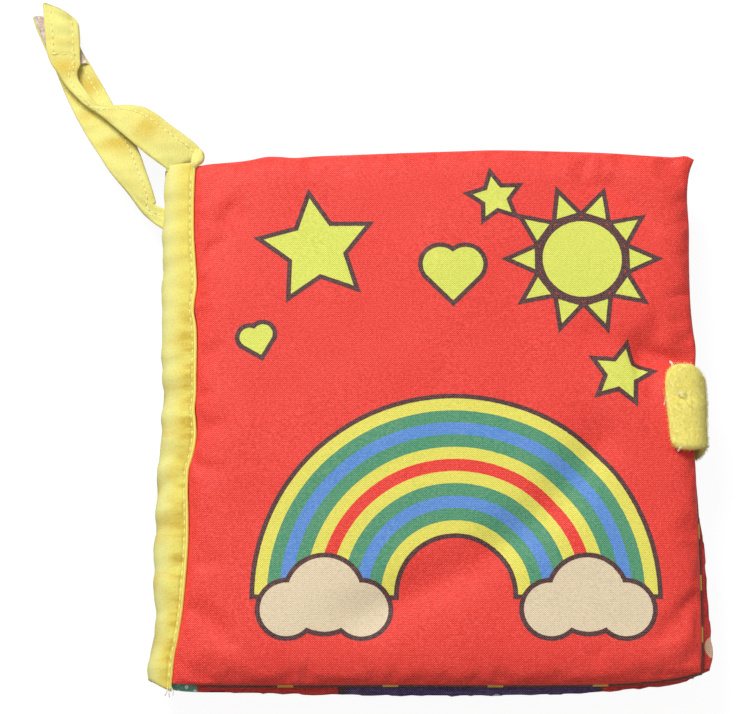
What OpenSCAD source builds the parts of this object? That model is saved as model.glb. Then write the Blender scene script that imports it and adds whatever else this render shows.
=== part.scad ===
// Soft cloth book lying on its back cover: padded panels bound along the spine with a folded tape,
// a carrying strap sewn into the head of the spine and a plush closure tab on the fore edge.
// The origin is on the underside of the back cover. +X runs to the fore edge, +Y to the head, +Z up.

/* [Panels] */
// Width of a padded panel from the spine seam to the fore edge at the head
panel_w = 138.6; // [115:0.2:170]
// Height of a padded panel along the spine
panel_h = 147.4; // [125:0.2:180]
// Thickness of a padded cover
cover_thick = 4; // [3.2:0.1:6]
// Thickness of one padded leaf
leaf_thick = 3.2; // [2.4:0.1:5]
// Number of leaves between the covers
leaf_count = 3; // [2:1:6]
// Gap left between neighbouring panels
panel_gap = 0.2; // [0.15:0.05:0.5]
// Thickness of the lining fabric inside the front cover
lining_thick = 0.4; // [0.3:0.05:0.8]
// How far the lining rolls out past the seam at the tail and the fore edge
lining_roll = 1; // [0.4:0.1:2]
// Thickness of a cover where it enters the spine seam
seam_thick = 1; // [0.8:0.1:1.6]
// Radius of a panel's corners seen from above
corner_r = 3; // [1.5:0.5:6]
// How far the head and tail edges bow outwards
end_bow = 2.6; // [0:0.2:5]
// How far the fore edge is pulled in between its corners
fore_pull = 0.8; // [0:0.2:3]
// How far the fore corner at the tail curls up towards the head
corner_curl = 3.2; // [0:0.2:6]
// Depth of the rounded edge of a leaf
leaf_edge = 2.6; // [1.2:0.2:4]
// How far the first leaf pokes out past the cover at the tail
leaf_poke = 2.4; // [0:0.2:4]

/* [Spine binding] */
// Visible width of the binding tape on each cover at the head
tape_w = 10.4; // [8:0.2:14]
// Thickness of the doubled tape
tape_thick = 0.9; // [0.6:0.1:1.4]
// How far the seam wanders outwards from head to tail
seam_skew = 4.4; // [0:0.2:6]
// How far the seam bows towards the fore edge at its middle
seam_bow = 2.2; // [0:0.2:3]
// How far the tape runs on past the tail of the panels
tape_tail = 3; // [0:0.5:6]
// How much longer the tape's lips are than its fold at the slanted tail end
tape_slant = 5; // [0:0.5:8]
// Height of the puckers across the tape
pucker = 0.25; // [0:0.05:0.5]
// Number of puckers along the spine
pucker_count = 7; // [3:1:12]
// Clearance between the tape's lips and a cover
seam_gap = 0.3; // [0.2:0.05:0.6]
// Distance of the running stitch from the tape's lip
stitch_inset = 1.3; // [0.8:0.1:2.5]
// Length of one stitch
stitch_len = 2.2; // [1.2:0.1:3]
// Pitch of the stitches
stitch_pitch = 3.2; // [3.1:0.1:6]
// Width of the sewing thread as it lies
thread_w = 0.4; // [0.3:0.05:0.6]

/* [Carrying strap] */
// Width of the strap ribbon
strap_w = 10.5; // [8:0.5:13]
// Thickness of the doubled strap ribbon
strap_thick = 1; // [0.6:0.1:1.4]
// How far the strap's far end stands above the head of the spine
strap_reach = 52.8; // [48:0.4:60]
// Height of the strap above the ground at its far end
strap_lift = 0.2; // [0.1:0.1:1]
// Thickness of the hook patch on the lower arm
hook_thick = 0.8; // [0.5:0.1:1.2]
// Thickness of the loop patch under the upper arm
loop_thick = 0.7; // [0.5:0.1:1.2]
// Gap between the hook and the loop patch
patch_gap = 0.3; // [0.1:0.05:0.5]
// Distance of the seam on the strap from its edge
strap_seam = 2; // [1.2:0.1:3]

/* [Closure tab] */
// Width of the closure tab along the fore edge
tab_w = 25.4; // [20:0.2:32]
// Length of the tab lying on the front cover
tab_reach = 8.6; // [6:0.2:14]
// Thickness of the doubled plush tape
tab_thick = 2; // [1.2:0.1:2.6]
// Place of the tab's middle along the fore edge
tab_y = 1.4; // [-20:0.2:20]
// Clearance between the tab's tail and the fore edges behind it
tab_gap = 0.9; // [0.8:0.05:1.5]
// Height of the tab's lower end above the ground
tab_end = 1; // [0.5:0.1:3]
// Thickness of the hook strip on the back cover's fore edge
hook_strip = 0.5; // [0.3:0.05:0.5]

/* [Print] */
// Thickness of a printed field as it stands on the cover
print_thick = 0.2; // [0.1:0.05:0.3]
// Width of the dark outlines
outline_w = 1.3; // [0.8:0.1:2]
// Outer radius of the striped arch
arch_r = 54; // [40:1:58]
// Width of one stripe of the arch
stripe_w = 3.4; // [2:0.1:4.4]
// Radius of the sun's disc
sun_r = 11; // [7:0.5:13]
// Radius of the large stars
star_r = 15; // [8:0.5:17]
// Width of the hearts
heart_w = 17; // [10:0.5:20]
// Radius of a cloud's middle puff
cloud_r = 10; // [6:0.5:11]

/* [Hidden] */
red = [0.93, 0.27, 0.21];
olive = [0.28, 0.22, 0.17];
yellow = [0.92, 0.87, 0.42];
lime = [0.87, 0.93, 0.4];
dark = [0.2, 0.13, 0.14];
cream = [0.93, 0.86, 0.74];
green = [0.25, 0.65, 0.42];
blue = [0.3, 0.6, 0.9];
thread = [0.96, 0.92, 0.55];
pile = [0.9, 0.8, 0.74];
eps = 0.01;

// Levels of the stack, from the ground up
pages_z = cover_thick + panel_gap;
pages_top = pages_z + leaf_count * leaf_thick;
lining_z = pages_top + panel_gap;
front_z = lining_z + lining_thick;
book_top = lining_z + cover_thick;
mid_z = book_top / 2;
seam_top = lining_z + seam_thick;
binding_h = seam_top + 0.2 - mid_z;

// Plan of the panels: the seam's line and the corners, anticlockwise from the tail of the spine
head_y = panel_h / 2;
seam_x = (tape_w - panel_w) / 2;
outer_x = seam_x - tape_w;
fore_x = seam_x + panel_w;
fore_taper = 1.3;
head_rise = 0.9;
tail_seam = [seam_x - seam_skew, -head_y];
head_seam = [seam_x, head_y];
cover_corners = [tail_seam, [fore_x - fore_taper, corner_curl - head_y],
    [fore_x, head_y + head_rise], head_seam];
cover_bows = [end_bow * 0.6, -fore_pull, end_bow, -seam_bow];
side_points = 10;

function unit(v) = v / norm(v);
function mix(a, b, t) = a + (b - a) * t;
function shift_x(corners, d) = [for (c = corners) c + [d, 0]];

// One side of a panel's outline from a to b, bowed outwards by bow, without its rounded ends
function side_line(a, b, bow) =
    let (d = b - a, out = unit([d.y, -d.x]), cut = corner_r / norm(d))
    [for (i = [0:side_points]) let (t = mix(cut, 1 - cut, i / side_points))
        a + d * t + out * bow * sin(180 * t)];

// Two points of the round corner c between the points p and q
function corner_bend(p, c, q) =
    [for (t = [1 / 3, 2 / 3]) p * pow(1 - t, 2) + c * 2 * t * (1 - t) + q * t * t];

function outline(corners, bows) =
    let (sides = [for (k = [0:3]) side_line(corners[k], corners[(k + 1) % 4], bows[k])])
    [for (k = [0:3]) each concat(sides[k],
        corner_bend(sides[k][side_points], corners[(k + 1) % 4], sides[(k + 1) % 4][0]))];

function inset(corners, free, seam) = [corners[0] + [seam, free], corners[1] + [-free, free],
    corners[2] + [-free, -free], corners[3] + [seam, -free]];

function ring(corners, bows, z) = [for (p = outline(corners, bows)) [p.x, p.y, z]];

function centre(points) =
    [for (k = [0:2]) let (c = [for (p = points) p[k]]) c * [for (p = points) 1] / len(points)];

// A closed solid through rings of points, listed upwards, each anticlockwise from above
module loft(rings) {
    n = len(rings[0]);
    m = len(rings);
    points = concat([for (r = rings) each r], [centre(rings[0]), centre(rings[m - 1])]);
    walls = [for (j = [0:m - 2], i = [0:n - 1])
        let (a = j * n + i, b = j * n + (i + 1) % n)
        each [[a, b + n, b], [a, a + n, b + n]]];
    floor = [for (i = [0:n - 1]) [m * n, i, (i + 1) % n]];
    lid = [for (i = [0:n - 1]) [m * n + 1, (m - 1) * n + (i + 1) % n, (m - 1) * n + i]];
    polyhedron(points, concat(walls, floor, lid));
}

// Crown of a padded cover: share of the height above the seam, inset at the free edges, inset at the spine
crown = [[0, 0, 0], [0.14, 0.1, 4.2], [0.4, 0.9, 6.9], [0.66, 2.6, 9], [0.87, 5, 11], [1, 8.5, 14]];
crown_free = [for (c = crown) [c[1], c[0]]];
crown_rise = cover_thick - seam_thick;

function cover_top(inward) = seam_top + crown_rise * lookup(inward, crown_free);

cover_hinge = shift_x([cover_corners[0], cover_corners[3]], seam_gap);
hinged_corners = [cover_hinge[0], cover_corners[1], cover_corners[2], cover_hinge[1]];

module front_cover() {
    color(red) loft(concat(
        [ring(inset(hinged_corners, 0.8, 0), cover_bows, front_z)],
        [for (c = crown) ring(inset(hinged_corners, c[1], c[2]), cover_bows, seam_top + crown_rise * c[0])]));
}

// The lining shows as a dark line where it rolls out past the seam at the tail and the fore edge
module front_cover_lining() {
    rolled = [hinged_corners[0] + [0, -lining_roll], hinged_corners[1] + [lining_roll * 0.6, -lining_roll],
        hinged_corners[2] + [-0.4, -0.6], hinged_corners[3] + [0, -0.6]];
    color(olive) loft([ring(rolled, cover_bows, lining_z), ring(rolled, cover_bows, front_z)]);
}

// Turned over, the back cover has the front cover's crown below and is cut flat where the book lies on it
module back_cover() {
    below = cover_thick - seam_thick;
    sag = 0.6;
    color(red) difference() {
        loft(concat(
            [for (k = [len(crown) - 1:-1:0]) ring(inset(hinged_corners, crown[k][1], crown[k][2]), cover_bows,
                below - (below + sag) * crown[k][0])],
            [ring(inset(hinged_corners, 0.8, 0), cover_bows, cover_thick)]));
        translate([-panel_w, -panel_h, -2 * sag]) cube([2 * panel_w, 2 * panel_h, 2 * sag]);
    }
}

// Depth behind the seam of the spine's rounded inner space, which is width deep, at the height z
curve_n = 2.2;
function spine_depth(width, height, z) =
    let (share = min(1, abs(z - mid_z) / height)) width * pow(1 - pow(share, curve_n), 1 / curve_n);

// The leaves are one block: rounded at their free edges, and gripped by the tape at the spine
leaf_levels = [0, 0.12, 0.35, 0.65, 0.88];
leaf_shifts = [[-1.4, 1.2], [-0.6, 0.4], [0, -leaf_poke]];
function leaf_inset(share) = leaf_edge * (1 - pow(1 - pow(abs(2 * share - 1), curve_n), 1 / curve_n));
function leaf_corners(k, share) =
    let (s = leaf_shifts[min(max(k + 3 - leaf_count, 0), 2)], e = leaf_inset(share), c = cover_corners)
    [c[0] + [0, s.y * 0.6 + e], c[1] + [1.8 + s.x - e, s.y * 0.6 + e - 1], c[2] + [s.x - e - 0.8, -1 - e],
        c[3] + [0, -1 - e]];

module pages() {
    grip_gap = tape_thick + 0.5;
    grip_h = binding_h - tape_thick - 0.25;
    levels = concat([for (k = [0:leaf_count - 1], f = leaf_levels) [k, f]], [[leaf_count - 1, 1]]);
    color(red) loft([for (l = levels)
        let (z = pages_z + (l[0] + l[1]) * leaf_thick, c = leaf_corners(l[0], l[1]),
            tail = spine_depth(tape_width(1) - grip_gap, grip_h, z),
            head = spine_depth(tape_width(0) - grip_gap, grip_h, z))
        ring([c[0] - [tail, 0], c[1], c[2], c[3] - [head, 0]], cover_bows, z)]);
}

// Section of the tape at the share t of its way from head to tail, as a ring of outer and inner points
tape_arc = 14;
tape_rings = 28;
function seam_at(t) = mix(seam_x, seam_x - seam_skew, t) + seam_bow * sin(180 * t);
function tape_end(x) = -head_y - tape_tail + tape_slant * max(0, seam_x - seam_skew - x) / tape_w;
function tape_point(t, angle, width, height) =
    let (x = seam_at(t) - width * pow(sin(angle), 2 / curve_n),
        z = mid_z + height * sign(cos(angle)) * pow(abs(cos(angle)), 2 / curve_n))
    [x, mix(head_y, tape_end(x), t), z];
function tape_width(t) = seam_at(t) - outer_x + 0.8 * t;
function tape_section(t) =
    let (w = tape_width(t), wave = pucker * (0.5 - 0.5 * cos(360 * pucker_count * t)), step = 180 / tape_arc)
    concat([for (i = [0:tape_arc]) tape_point(t, step * i, w + wave * sin(step * i), binding_h)],
        [for (i = [tape_arc:-1:0]) tape_point(t, step * i, w - tape_thick, binding_h - tape_thick)]);

module spine_binding() {
    n = 2 * tape_arc + 2;
    points = [for (j = [0:tape_rings]) each tape_section(j / tape_rings)];
    walls = [for (j = [0:tape_rings - 1], i = [0:n - 1])
        let (a = j * n + i, b = j * n + (i + 1) % n)
        each [[a, b + n, b], [a, a + n, b + n]]];
    ends = [for (i = [0:tape_arc - 1])
        let (a = i, b = i + 1, c = n - 2 - i, d = n - 1 - i, o = tape_rings * n)
        each [[a, b, c], [a, c, d], [a + o, c + o, b + o], [a + o, d + o, c + o]]];
    color(yellow) polyhedron(points, concat(walls, ends));
}

// A running stitch along the lip holds the tape to the front of the book
module spine_stitches() {
    run = panel_h - 6;
    count = floor(run / stitch_pitch);
    rise = 0.25;
    color(thread) for (i = [0:count - 1]) {
        t = (3 + stitch_pitch * (i + 0.5)) / panel_h;
        x = seam_at(t) - stitch_inset;
        drop = binding_h * (1 - pow(1 - pow(stitch_inset / tape_width(t), curve_n), 1 / curve_n));
        turn = atan2(seam_at(t + eps) - seam_at(t), panel_h * eps);
        translate([x, mix(head_y, tape_end(x), t), mid_z + binding_h - drop + rise / 2]) rotate(-turn)
            cube([thread_w, stitch_len, rise], center = true);
    }
}

// Route of an arm of the strap: place from the outer corner of the spine's head for a reach of route_reach,
// share of the way up from its resting height to the middle of the spine, share of the full width, and roll
strap_rest = strap_lift + strap_thick / 2;
upper_rest = strap_rest + strap_thick + hook_thick + patch_gap + loop_thick;
route_reach = 52.8;
route_scale = strap_reach / route_reach;
head_mid = tape_w * 0.47 / route_scale;
upper_route = [[head_mid, 0.5, 1.1, 0.76, 0], [head_mid, 2.4, 1.12, 0.84, 0], [2.4, 5.4, 1.2, 0.96, 0],
    [-1.4, 8.4, 1.36, 1, 0], [-7.5, 12.8, 1.55, 1, 8], [-14, 16.4, 1.6, 1, 40], [-21, 19.4, 1.35, 1, 66],
    [-25.4, 23.2, 1.15, 1, 64], [-28, 27.8, 0.85, 1, 48], [-29.3, 32.5, 0.3, 1, 14], [-30.8, 36.8, 0, 1, 0],
    [-31.7, 46, 0, 1, 0], [-32.5, 52.1, 0, 1, 0]];
lower_route = [[-1.15, -14.2, 1, 0.48, 0], [-3.1, -13.7, 1, 0.46, 0], [-5.3, -11.6, 1, 0.48, 0],
    [-7.2, -8.6, 1, 0.55, 0], [-9, -5, 1, 0.72, 0], [-11.1, -0.2, 1, 0.93, 0], [-14, 5.8, 1, 1, 0],
    [-17.7, 12.6, 0.8, 1, 0], [-21.2, 19.3, 0.48, 1, 0], [-25.3, 27.2, 0.2, 1, 0], [-28.3, 33, 0.05, 1, 0],
    [-30.6, 36.8, 0, 1, 0], [-33.1, 42.1, 0, 1, 0], [-35, 48, 0, 1, 0], [-36, 52.8, 0, 1, 0]];
route_steps = 3;

// Smooth value at the share u between the stations i and i + 1
function station(route, i, u) =
    let (last = len(route) - 1, a = route[max(i - 1, 0)], b = route[i], c = route[min(i + 1, last)],
        d = route[min(i + 2, last)])
    b + 0.5 * ((c - a) * u + (2 * a - 5 * b + 4 * c - d) * pow(u, 2) + (3 * b - a - 3 * c + d) * pow(u, 3));
function along(route, s) = let (i = min(floor(s), len(route) - 2)) station(route, i, s - i);
function strap_place(route, rest, s) =
    let (p = along(route, s))
    [outer_x + p[0] * route_scale, head_y + p[1] * route_scale, mix(rest, mid_z, p[2])];

// Four corners of the ribbon at s, from low to high above its middle surface
function strap_ring(route, rest, s, low, high, narrow) =
    let (p = along(route, s), here = strap_place(route, rest, s),
        run = unit(strap_place(route, rest, s + eps) - strap_place(route, rest, s - eps)),
        side = unit(cross(run, [0, 0, 1])), up = cross(side, run),
        across = side * cos(p[4]) + up * sin(p[4]), face = cross(across, run),
        half = (strap_w * p[3] - narrow) / 2)
    [here - across * half + face * low, here + across * half + face * low,
        here + across * half + face * high, here - across * half + face * high];

module ribbon(route, rest, from, to, low, high, narrow = 0) {
    count = ceil((to - from) * route_steps);
    points = [for (j = [0:count]) each strap_ring(route, rest, mix(from, to, j / count), low, high, narrow)];
    walls = [for (j = [0:count - 1], i = [0:3])
        let (a = 4 * j + i, b = 4 * j + (i + 1) % 4)
        each [[a, b, b + 4], [a, b + 4, a + 4]]];
    o = 4 * count;
    ends = [[0, 2, 1], [0, 3, 2], [o, o + 1, o + 2], [o, o + 2, o + 3]];
    polyhedron(points, concat(walls, ends));
}

module strap_upper() {
    color(yellow) ribbon(upper_route, upper_rest, eps, len(upper_route) - 1 - eps,
        -strap_thick / 2, strap_thick / 2);
}

module strap_lower() {
    color(yellow) ribbon(lower_route, strap_rest, eps, len(lower_route) - 1 - eps,
        -strap_thick / 2, strap_thick / 2);
}

// The two halves of the hook-and-loop fastening that closes the strap
patch_run = 2 - eps;
patch_seat = 0.1;
module strap_hook_patch() {
    last = len(lower_route) - 1 - eps;
    color(pile) ribbon(lower_route, strap_rest, last - patch_run - 1, last,
        strap_thick / 2 + patch_seat, strap_thick / 2 + hook_thick, 1);
}

module strap_loop_patch() {
    last = len(upper_route) - 1 - eps;
    color(yellow) ribbon(upper_route, upper_rest, last - patch_run, last,
        -strap_thick / 2 - loop_thick, -strap_thick / 2 - patch_seat, 1.4);
}

// Stitches down both sides and across the foot of the upper patch
module strap_stitches() {
    top = upper_rest + strap_thick / 2;
    rise = 0.2;
    last = len(upper_route) - 1;
    start = strap_place(upper_route, upper_rest, last - patch_run + 0.1);
    end = strap_place(upper_route, upper_rest, last - 0.15);
    run = norm(end - start);
    lean = atan2(end.x - start.x, end.y - start.y);
    count = floor(run / stitch_pitch);
    side = strap_w / 2 - strap_seam;
    color(thread) translate([start.x, start.y, top + rise / 2]) rotate(-lean) {
        for (i = [0:count - 1], k = [-1, 1]) translate([k * side, stitch_pitch * (i + 0.5), 0])
            cube([thread_w, stitch_len, rise], center = true);
        for (k = [-0.5, 0.5]) translate([k * side, 0, 0]) cube([stitch_len, thread_w, rise], center = true);
    }
}

// The fore edge at a height along the spine
function fore_edge(y) =
    let (t = (y + head_y) / panel_h)
    mix(cover_corners[1].x, cover_corners[2].x, t) - fore_pull * sin(180 * t);

// Middle line of the tab: it lies on the cover's crown, turns over the fore edge and hangs down behind it
tab_rest = tab_thick / 2 + 0.1;
tab_path = [for (d = [tab_reach, 6, 4, 2.4, 1.1])
    [-d, cover_top(d) + tab_rest + 0.1 * (tab_reach - d) / tab_reach]];
tab_out = tab_gap + tab_thick / 2;
tab_turn = cover_top(1.1) + tab_rest;
tab_drop = [[tab_out - 0.7, tab_turn - 0.5], [tab_out - 0.1, tab_turn - 1.7], [tab_out, tab_turn - 3.4],
    [tab_out, mid_z], [tab_out, tab_end]];
tab_line = concat(tab_path, tab_drop);

function line_normal(line, i) =
    let (d = unit(line[min(i + 1, len(line) - 1)] - line[max(i - 1, 0)])) [-d.y, d.x];

module closure_tab() {
    over = [for (i = [0:len(tab_line) - 1]) tab_line[i] + line_normal(tab_line, i) * tab_thick / 2];
    under = [for (i = [len(tab_line) - 1:-1:0]) tab_line[i] - line_normal(tab_line, i) * tab_thick / 2];
    color(yellow) intersection() {
        translate([fore_edge(tab_y), tab_y + tab_w / 2, 0]) rotate([90, 0, 0])
            linear_extrude(tab_w) polygon(concat(over, under));
        translate([fore_edge(tab_y) - tab_reach - 1, tab_y - tab_w / 2, 0]) hull()
            for (x = [corner_r + 1, tab_reach + tab_out + 4], y = [corner_r, tab_w - corner_r])
                translate([x, y, 0]) cylinder(r = corner_r, h = 2 * book_top, $fn = 32);
    }
}

// The strip that the tab closes onto is sewn along the back cover's fore edge
module closure_hook_strip() {
    height = seam_thick + 1.2;
    color(pile) translate([fore_edge(tab_y) + 0.15, tab_y - tab_w / 2 + 2, cover_thick - height])
        cube([hook_strip, tab_w - 4, height]);
}

// Flat shapes of the print, inside the level top of the cover
cover_mid = [(seam_x + fore_x) / 2, 0];
print_edge = 1;
last_crown = crown[len(crown) - 1];
arch_c = cover_mid + [2, -arch_r + 4];
arch_span = 5 * stripe_w;

module on_cover() {
    level = inset(hinged_corners, last_crown[1] + print_edge, last_crown[2] + print_edge);
    translate([0, 0, book_top]) linear_extrude(print_thick) intersection() {
        polygon(outline(level, cover_bows));
        children();
    }
}

function star(r, dent, tips) =
    [for (i = [0:2 * tips - 1]) let (a = 90 + 180 * i / tips, k = i % 2 == 0 ? r : r * dent)
        k * [cos(a), sin(a)]];

module heart(w) {
    r = w * 0.29;
    rotate(45) union() {
        square(2 * r, center = true);
        translate([r, 0]) circle(r, $fn = 32);
        translate([0, r]) circle(r, $fn = 32);
    }
}

// Half a turn of a band of the arch, down to the line on which the clouds lie
module arch_band(outer, inner) {
    translate(arch_c) intersection() {
        difference() {
            circle(outer, $fn = 64);
            circle(inner, $fn = 64);
        }
        translate([-2 * arch_r, 0]) square([4 * arch_r, 2 * arch_r]);
    }
}

module clouds(grow) {
    for (k = [-1, 1]) translate(arch_c + [k * (arch_r - arch_span - stripe_w / 2), -cloud_r * 0.2])
        for (puff = [[0, 0.2, 1], [-1, -0.2, 0.72], [1, -0.2, 0.72]])
            translate([puff[0], puff[1]] * cloud_r) circle(cloud_r * puff[2] + grow, $fn = 40);
}

// Stars, hearts and a sun in lime
stars = [[-36, 47, 1, 8], [48, 11, 0.5, -12], [14, 62, 0.42, 10]];
hearts = [[2, 39, 1, 0], [-52, 20, 0.55, 15]];
sun_place = [38, 44];
module lime_shapes(grow) {
    for (s = stars) translate(cover_mid + [s[0], s[1]]) rotate(s[3])
        offset(delta = grow) polygon(star(star_r * s[2], 0.5, 5));
    for (h = hearts) translate(cover_mid + [h[0], h[1]]) rotate(h[3])
        offset(r = grow, $fn = 24) heart(heart_w * h[2]);
    translate(cover_mid + sun_place) {
        circle(sun_r + grow, $fn = 48);
        for (a = [0:36:324]) rotate(a) offset(delta = grow)
            polygon([[sun_r * 1.2, sun_r * 0.27], [sun_r * 1.2, -sun_r * 0.27], [sun_r * 1.78, 0]]);
    }
}

module cover_print_lime() {
    color(lime) on_cover() lime_shapes(0);
}

module cover_print_cream() {
    color(cream) on_cover() clouds(0);
}

// Stripes of the arch between the radii arch_r - from and arch_r - to, clear of the clouds
module stripe(first) {
    on_cover() difference() {
        union() for (k = first) arch_band(arch_r - k * stripe_w, arch_r - (k + 1) * stripe_w);
        clouds(outline_w);
    }
}

module cover_print_yellow() {
    color(yellow) stripe([0, 4, 6, 10]);
}

module cover_print_green() {
    color(green) stripe([1, 3, 7, 9]);
}

module cover_print_blue() {
    color(blue) stripe([2, 8]);
}

module cover_print_dark() {
    color(dark) on_cover() {
        difference() {
            lime_shapes(outline_w);
            lime_shapes(0);
        }
        difference() {
            clouds(outline_w);
            clouds(0);
        }
        difference() {
            union() {
                arch_band(arch_r + outline_w, arch_r);
                arch_band(arch_r - 11 * stripe_w, arch_r - 11 * stripe_w - outline_w);
            }
            clouds(outline_w);
        }
    }
}

front_cover();
front_cover_lining();
back_cover();
pages();
spine_binding();
spine_stitches();
strap_upper();
strap_lower();
strap_hook_patch();
strap_loop_patch();
strap_stitches();
closure_tab();
closure_hook_strip();
cover_print_dark();
cover_print_lime();
cover_print_cream();
cover_print_yellow();
cover_print_green();
cover_print_blue();
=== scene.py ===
"""Soft cloth book for small children, closed and lying on its back cover with its strap spread out.

Sizes in the sections are millimetres in the part's own frame: +X from the spine to the fore edge, +Y from the
tail to the head and +Z up. Meshes are written in metres.
"""

import math

import bpy
import numpy as np
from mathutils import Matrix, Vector, noise


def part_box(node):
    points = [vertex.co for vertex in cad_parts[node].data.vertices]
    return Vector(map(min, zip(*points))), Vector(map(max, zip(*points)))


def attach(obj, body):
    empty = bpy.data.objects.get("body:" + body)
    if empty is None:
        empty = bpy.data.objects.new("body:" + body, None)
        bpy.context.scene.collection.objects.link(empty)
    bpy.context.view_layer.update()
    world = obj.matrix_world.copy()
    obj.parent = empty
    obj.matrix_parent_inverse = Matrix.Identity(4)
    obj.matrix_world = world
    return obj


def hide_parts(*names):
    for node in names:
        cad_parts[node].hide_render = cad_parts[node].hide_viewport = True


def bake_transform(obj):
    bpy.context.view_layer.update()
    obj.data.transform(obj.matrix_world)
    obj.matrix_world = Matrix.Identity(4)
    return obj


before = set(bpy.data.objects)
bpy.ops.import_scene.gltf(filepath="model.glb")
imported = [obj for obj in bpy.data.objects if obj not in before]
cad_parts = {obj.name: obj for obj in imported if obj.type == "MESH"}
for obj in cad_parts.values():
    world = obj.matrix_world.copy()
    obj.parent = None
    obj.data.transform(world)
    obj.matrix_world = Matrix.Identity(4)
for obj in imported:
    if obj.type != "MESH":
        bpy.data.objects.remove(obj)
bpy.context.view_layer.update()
scene = bpy.context.scene
scene.view_settings.view_transform = "Standard"

# Viewpoint: almost straight above the book, tilted 15 degrees towards its tail, through a long lens.
camera = bpy.data.objects.new("camera", bpy.data.cameras.new("camera"))
camera.data.lens = 107
camera.data.sensor_width = 36
camera.location = (-0.0145, -0.14301, 0.61101)
camera.rotation_euler = (math.radians(15), 0, 0)
scene.collection.objects.link(camera)
scene.camera = camera

# Daylight: one broad soft lamp beyond the head of the spine and an even pale room around it.
for name, place, power, width in (("window", (-0.5, 0.85, 0.95), 16.6, 0.6), ("fill", (0.5, -0.8, 1.2), 1.6, 1.2)):
    lamp = bpy.data.objects.new(name, bpy.data.lights.new(name, "AREA"))
    lamp.data.energy = power
    lamp.data.size = width
    lamp.location = place
    lamp.rotation_euler = (-Vector(place)).to_track_quat("-Z", "Y").to_euler()
    scene.collection.objects.link(lamp)


class Tone:
    """A value that varies over a surface; Python's own signs on it add Math nodes."""

    def __init__(self, dye, socket):
        self.dye, self.socket = dye, socket

    def math(self, operation, other=0.5):
        return self.dye.node("ShaderNodeMath", {"operation": operation}, {0: self, 1: other})

    def within(self, low, high):
        return self.math("MINIMUM", high).math("MAXIMUM", low)

    def bell(self):
        """1 where the value is 0, and close to 0 beyond 2."""
        return (self * self * -1.0).math("EXPONENT")

    def __add__(self, other):
        return self.math("ADD", other)

    def __sub__(self, other):
        return self.math("SUBTRACT", other)

    def __rsub__(self, other):
        return self.dye.node("ShaderNodeMath", {"operation": "SUBTRACT"}, {0: other, 1: self})

    def __mul__(self, other):
        return self.math("MULTIPLY", other)

    def __truediv__(self, other):
        return self.math("DIVIDE", other)

    def __pow__(self, other):
        return self.math("POWER", other)

    def __lt__(self, other):
        return self.math("LESS_THAN", other)

    def __gt__(self, other):
        return self.math("GREATER_THAN", other)

    def __abs__(self):
        return self.math("ABSOLUTE")

    __radd__ = __add__
    __rmul__ = __mul__


class Nodes:
    """A node tree, of a finish or of sewing."""

    def node(self, kind, settings, inputs, outlet=0):
        made = self.tree.nodes.new(kind)
        for key, value in settings.items():
            if key == "stops":
                for place, colour in value:
                    stop = made.color_ramp.elements.new(place)
                    stop.color = colour
                made.color_ramp.elements.remove(made.color_ramp.elements[0])
                made.color_ramp.elements.remove(made.color_ramp.elements[-1])
            else:
                setattr(made, key, value)
        for key, value in inputs.items():
            if isinstance(value, Tone):
                self.tree.links.new(value.socket, made.inputs[key])
            else:
                made.inputs[key].default_value = value
        return Tone(self, made.outputs[outlet]) if made.outputs else made


class Dye(Nodes):
    """The node tree of one finish."""

    def __init__(self, name):
        self.material = bpy.data.materials.new(name)
        self.material.use_nodes = True
        self.tree = self.material.node_tree
        self.tree.nodes.clear()

    def mix(self, share, first, second):
        return self.node("ShaderNodeMix", {"data_type": "RGBA"}, {0: share, 6: first, 7: second}, 2)

    def split(self, vector):
        """The three parts of a vector, in millimetres where it is a place in metres."""
        parts = self.node("ShaderNodeSeparateXYZ", {}, {0: vector})
        outlets = parts.socket.node.outputs
        return [Tone(self, outlet) * 1000 for outlet in outlets]

    def noise(self, place, scale, detail=2.0, stretch=(1, 1, 1)):
        moved = self.node("ShaderNodeMapping", {}, {0: place, 3: stretch})
        return self.node("ShaderNodeTexNoise", {}, {"Vector": moved, "Scale": scale, "Detail": detail})

    def finish(self, surface):
        self.node("ShaderNodeOutputMaterial", {}, {"Surface": surface})
        return self.material


def srgb(red, green, blue):
    """A dye's colour as it is seen, from 0 to 255, for a shader."""
    parts = [value / 255 for value in (red, green, blue)]
    return (*[p / 12.92 if p <= 0.04045 else ((p + 0.055) / 1.055) ** 2.4 for p in parts], 1)


# Table: a plain white top. It shows white to the camera and still takes the book's soft shadow.
world = bpy.data.worlds.new("room")
scene.world = world
world.use_nodes = True
sky = world.node_tree
background = sky.nodes["Background"]
background.inputs["Color"].default_value = (1, 1, 1, 1)
path = sky.nodes.new("ShaderNodeLightPath")
seen = sky.nodes.new("ShaderNodeMath")
seen.operation = "MULTIPLY_ADD"
seen.inputs[1].default_value = 0.65
seen.inputs[2].default_value = 0.35
sky.links.new(path.outputs["Is Camera Ray"], seen.inputs[0])
sky.links.new(seen.outputs[0], background.inputs["Strength"])

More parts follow.
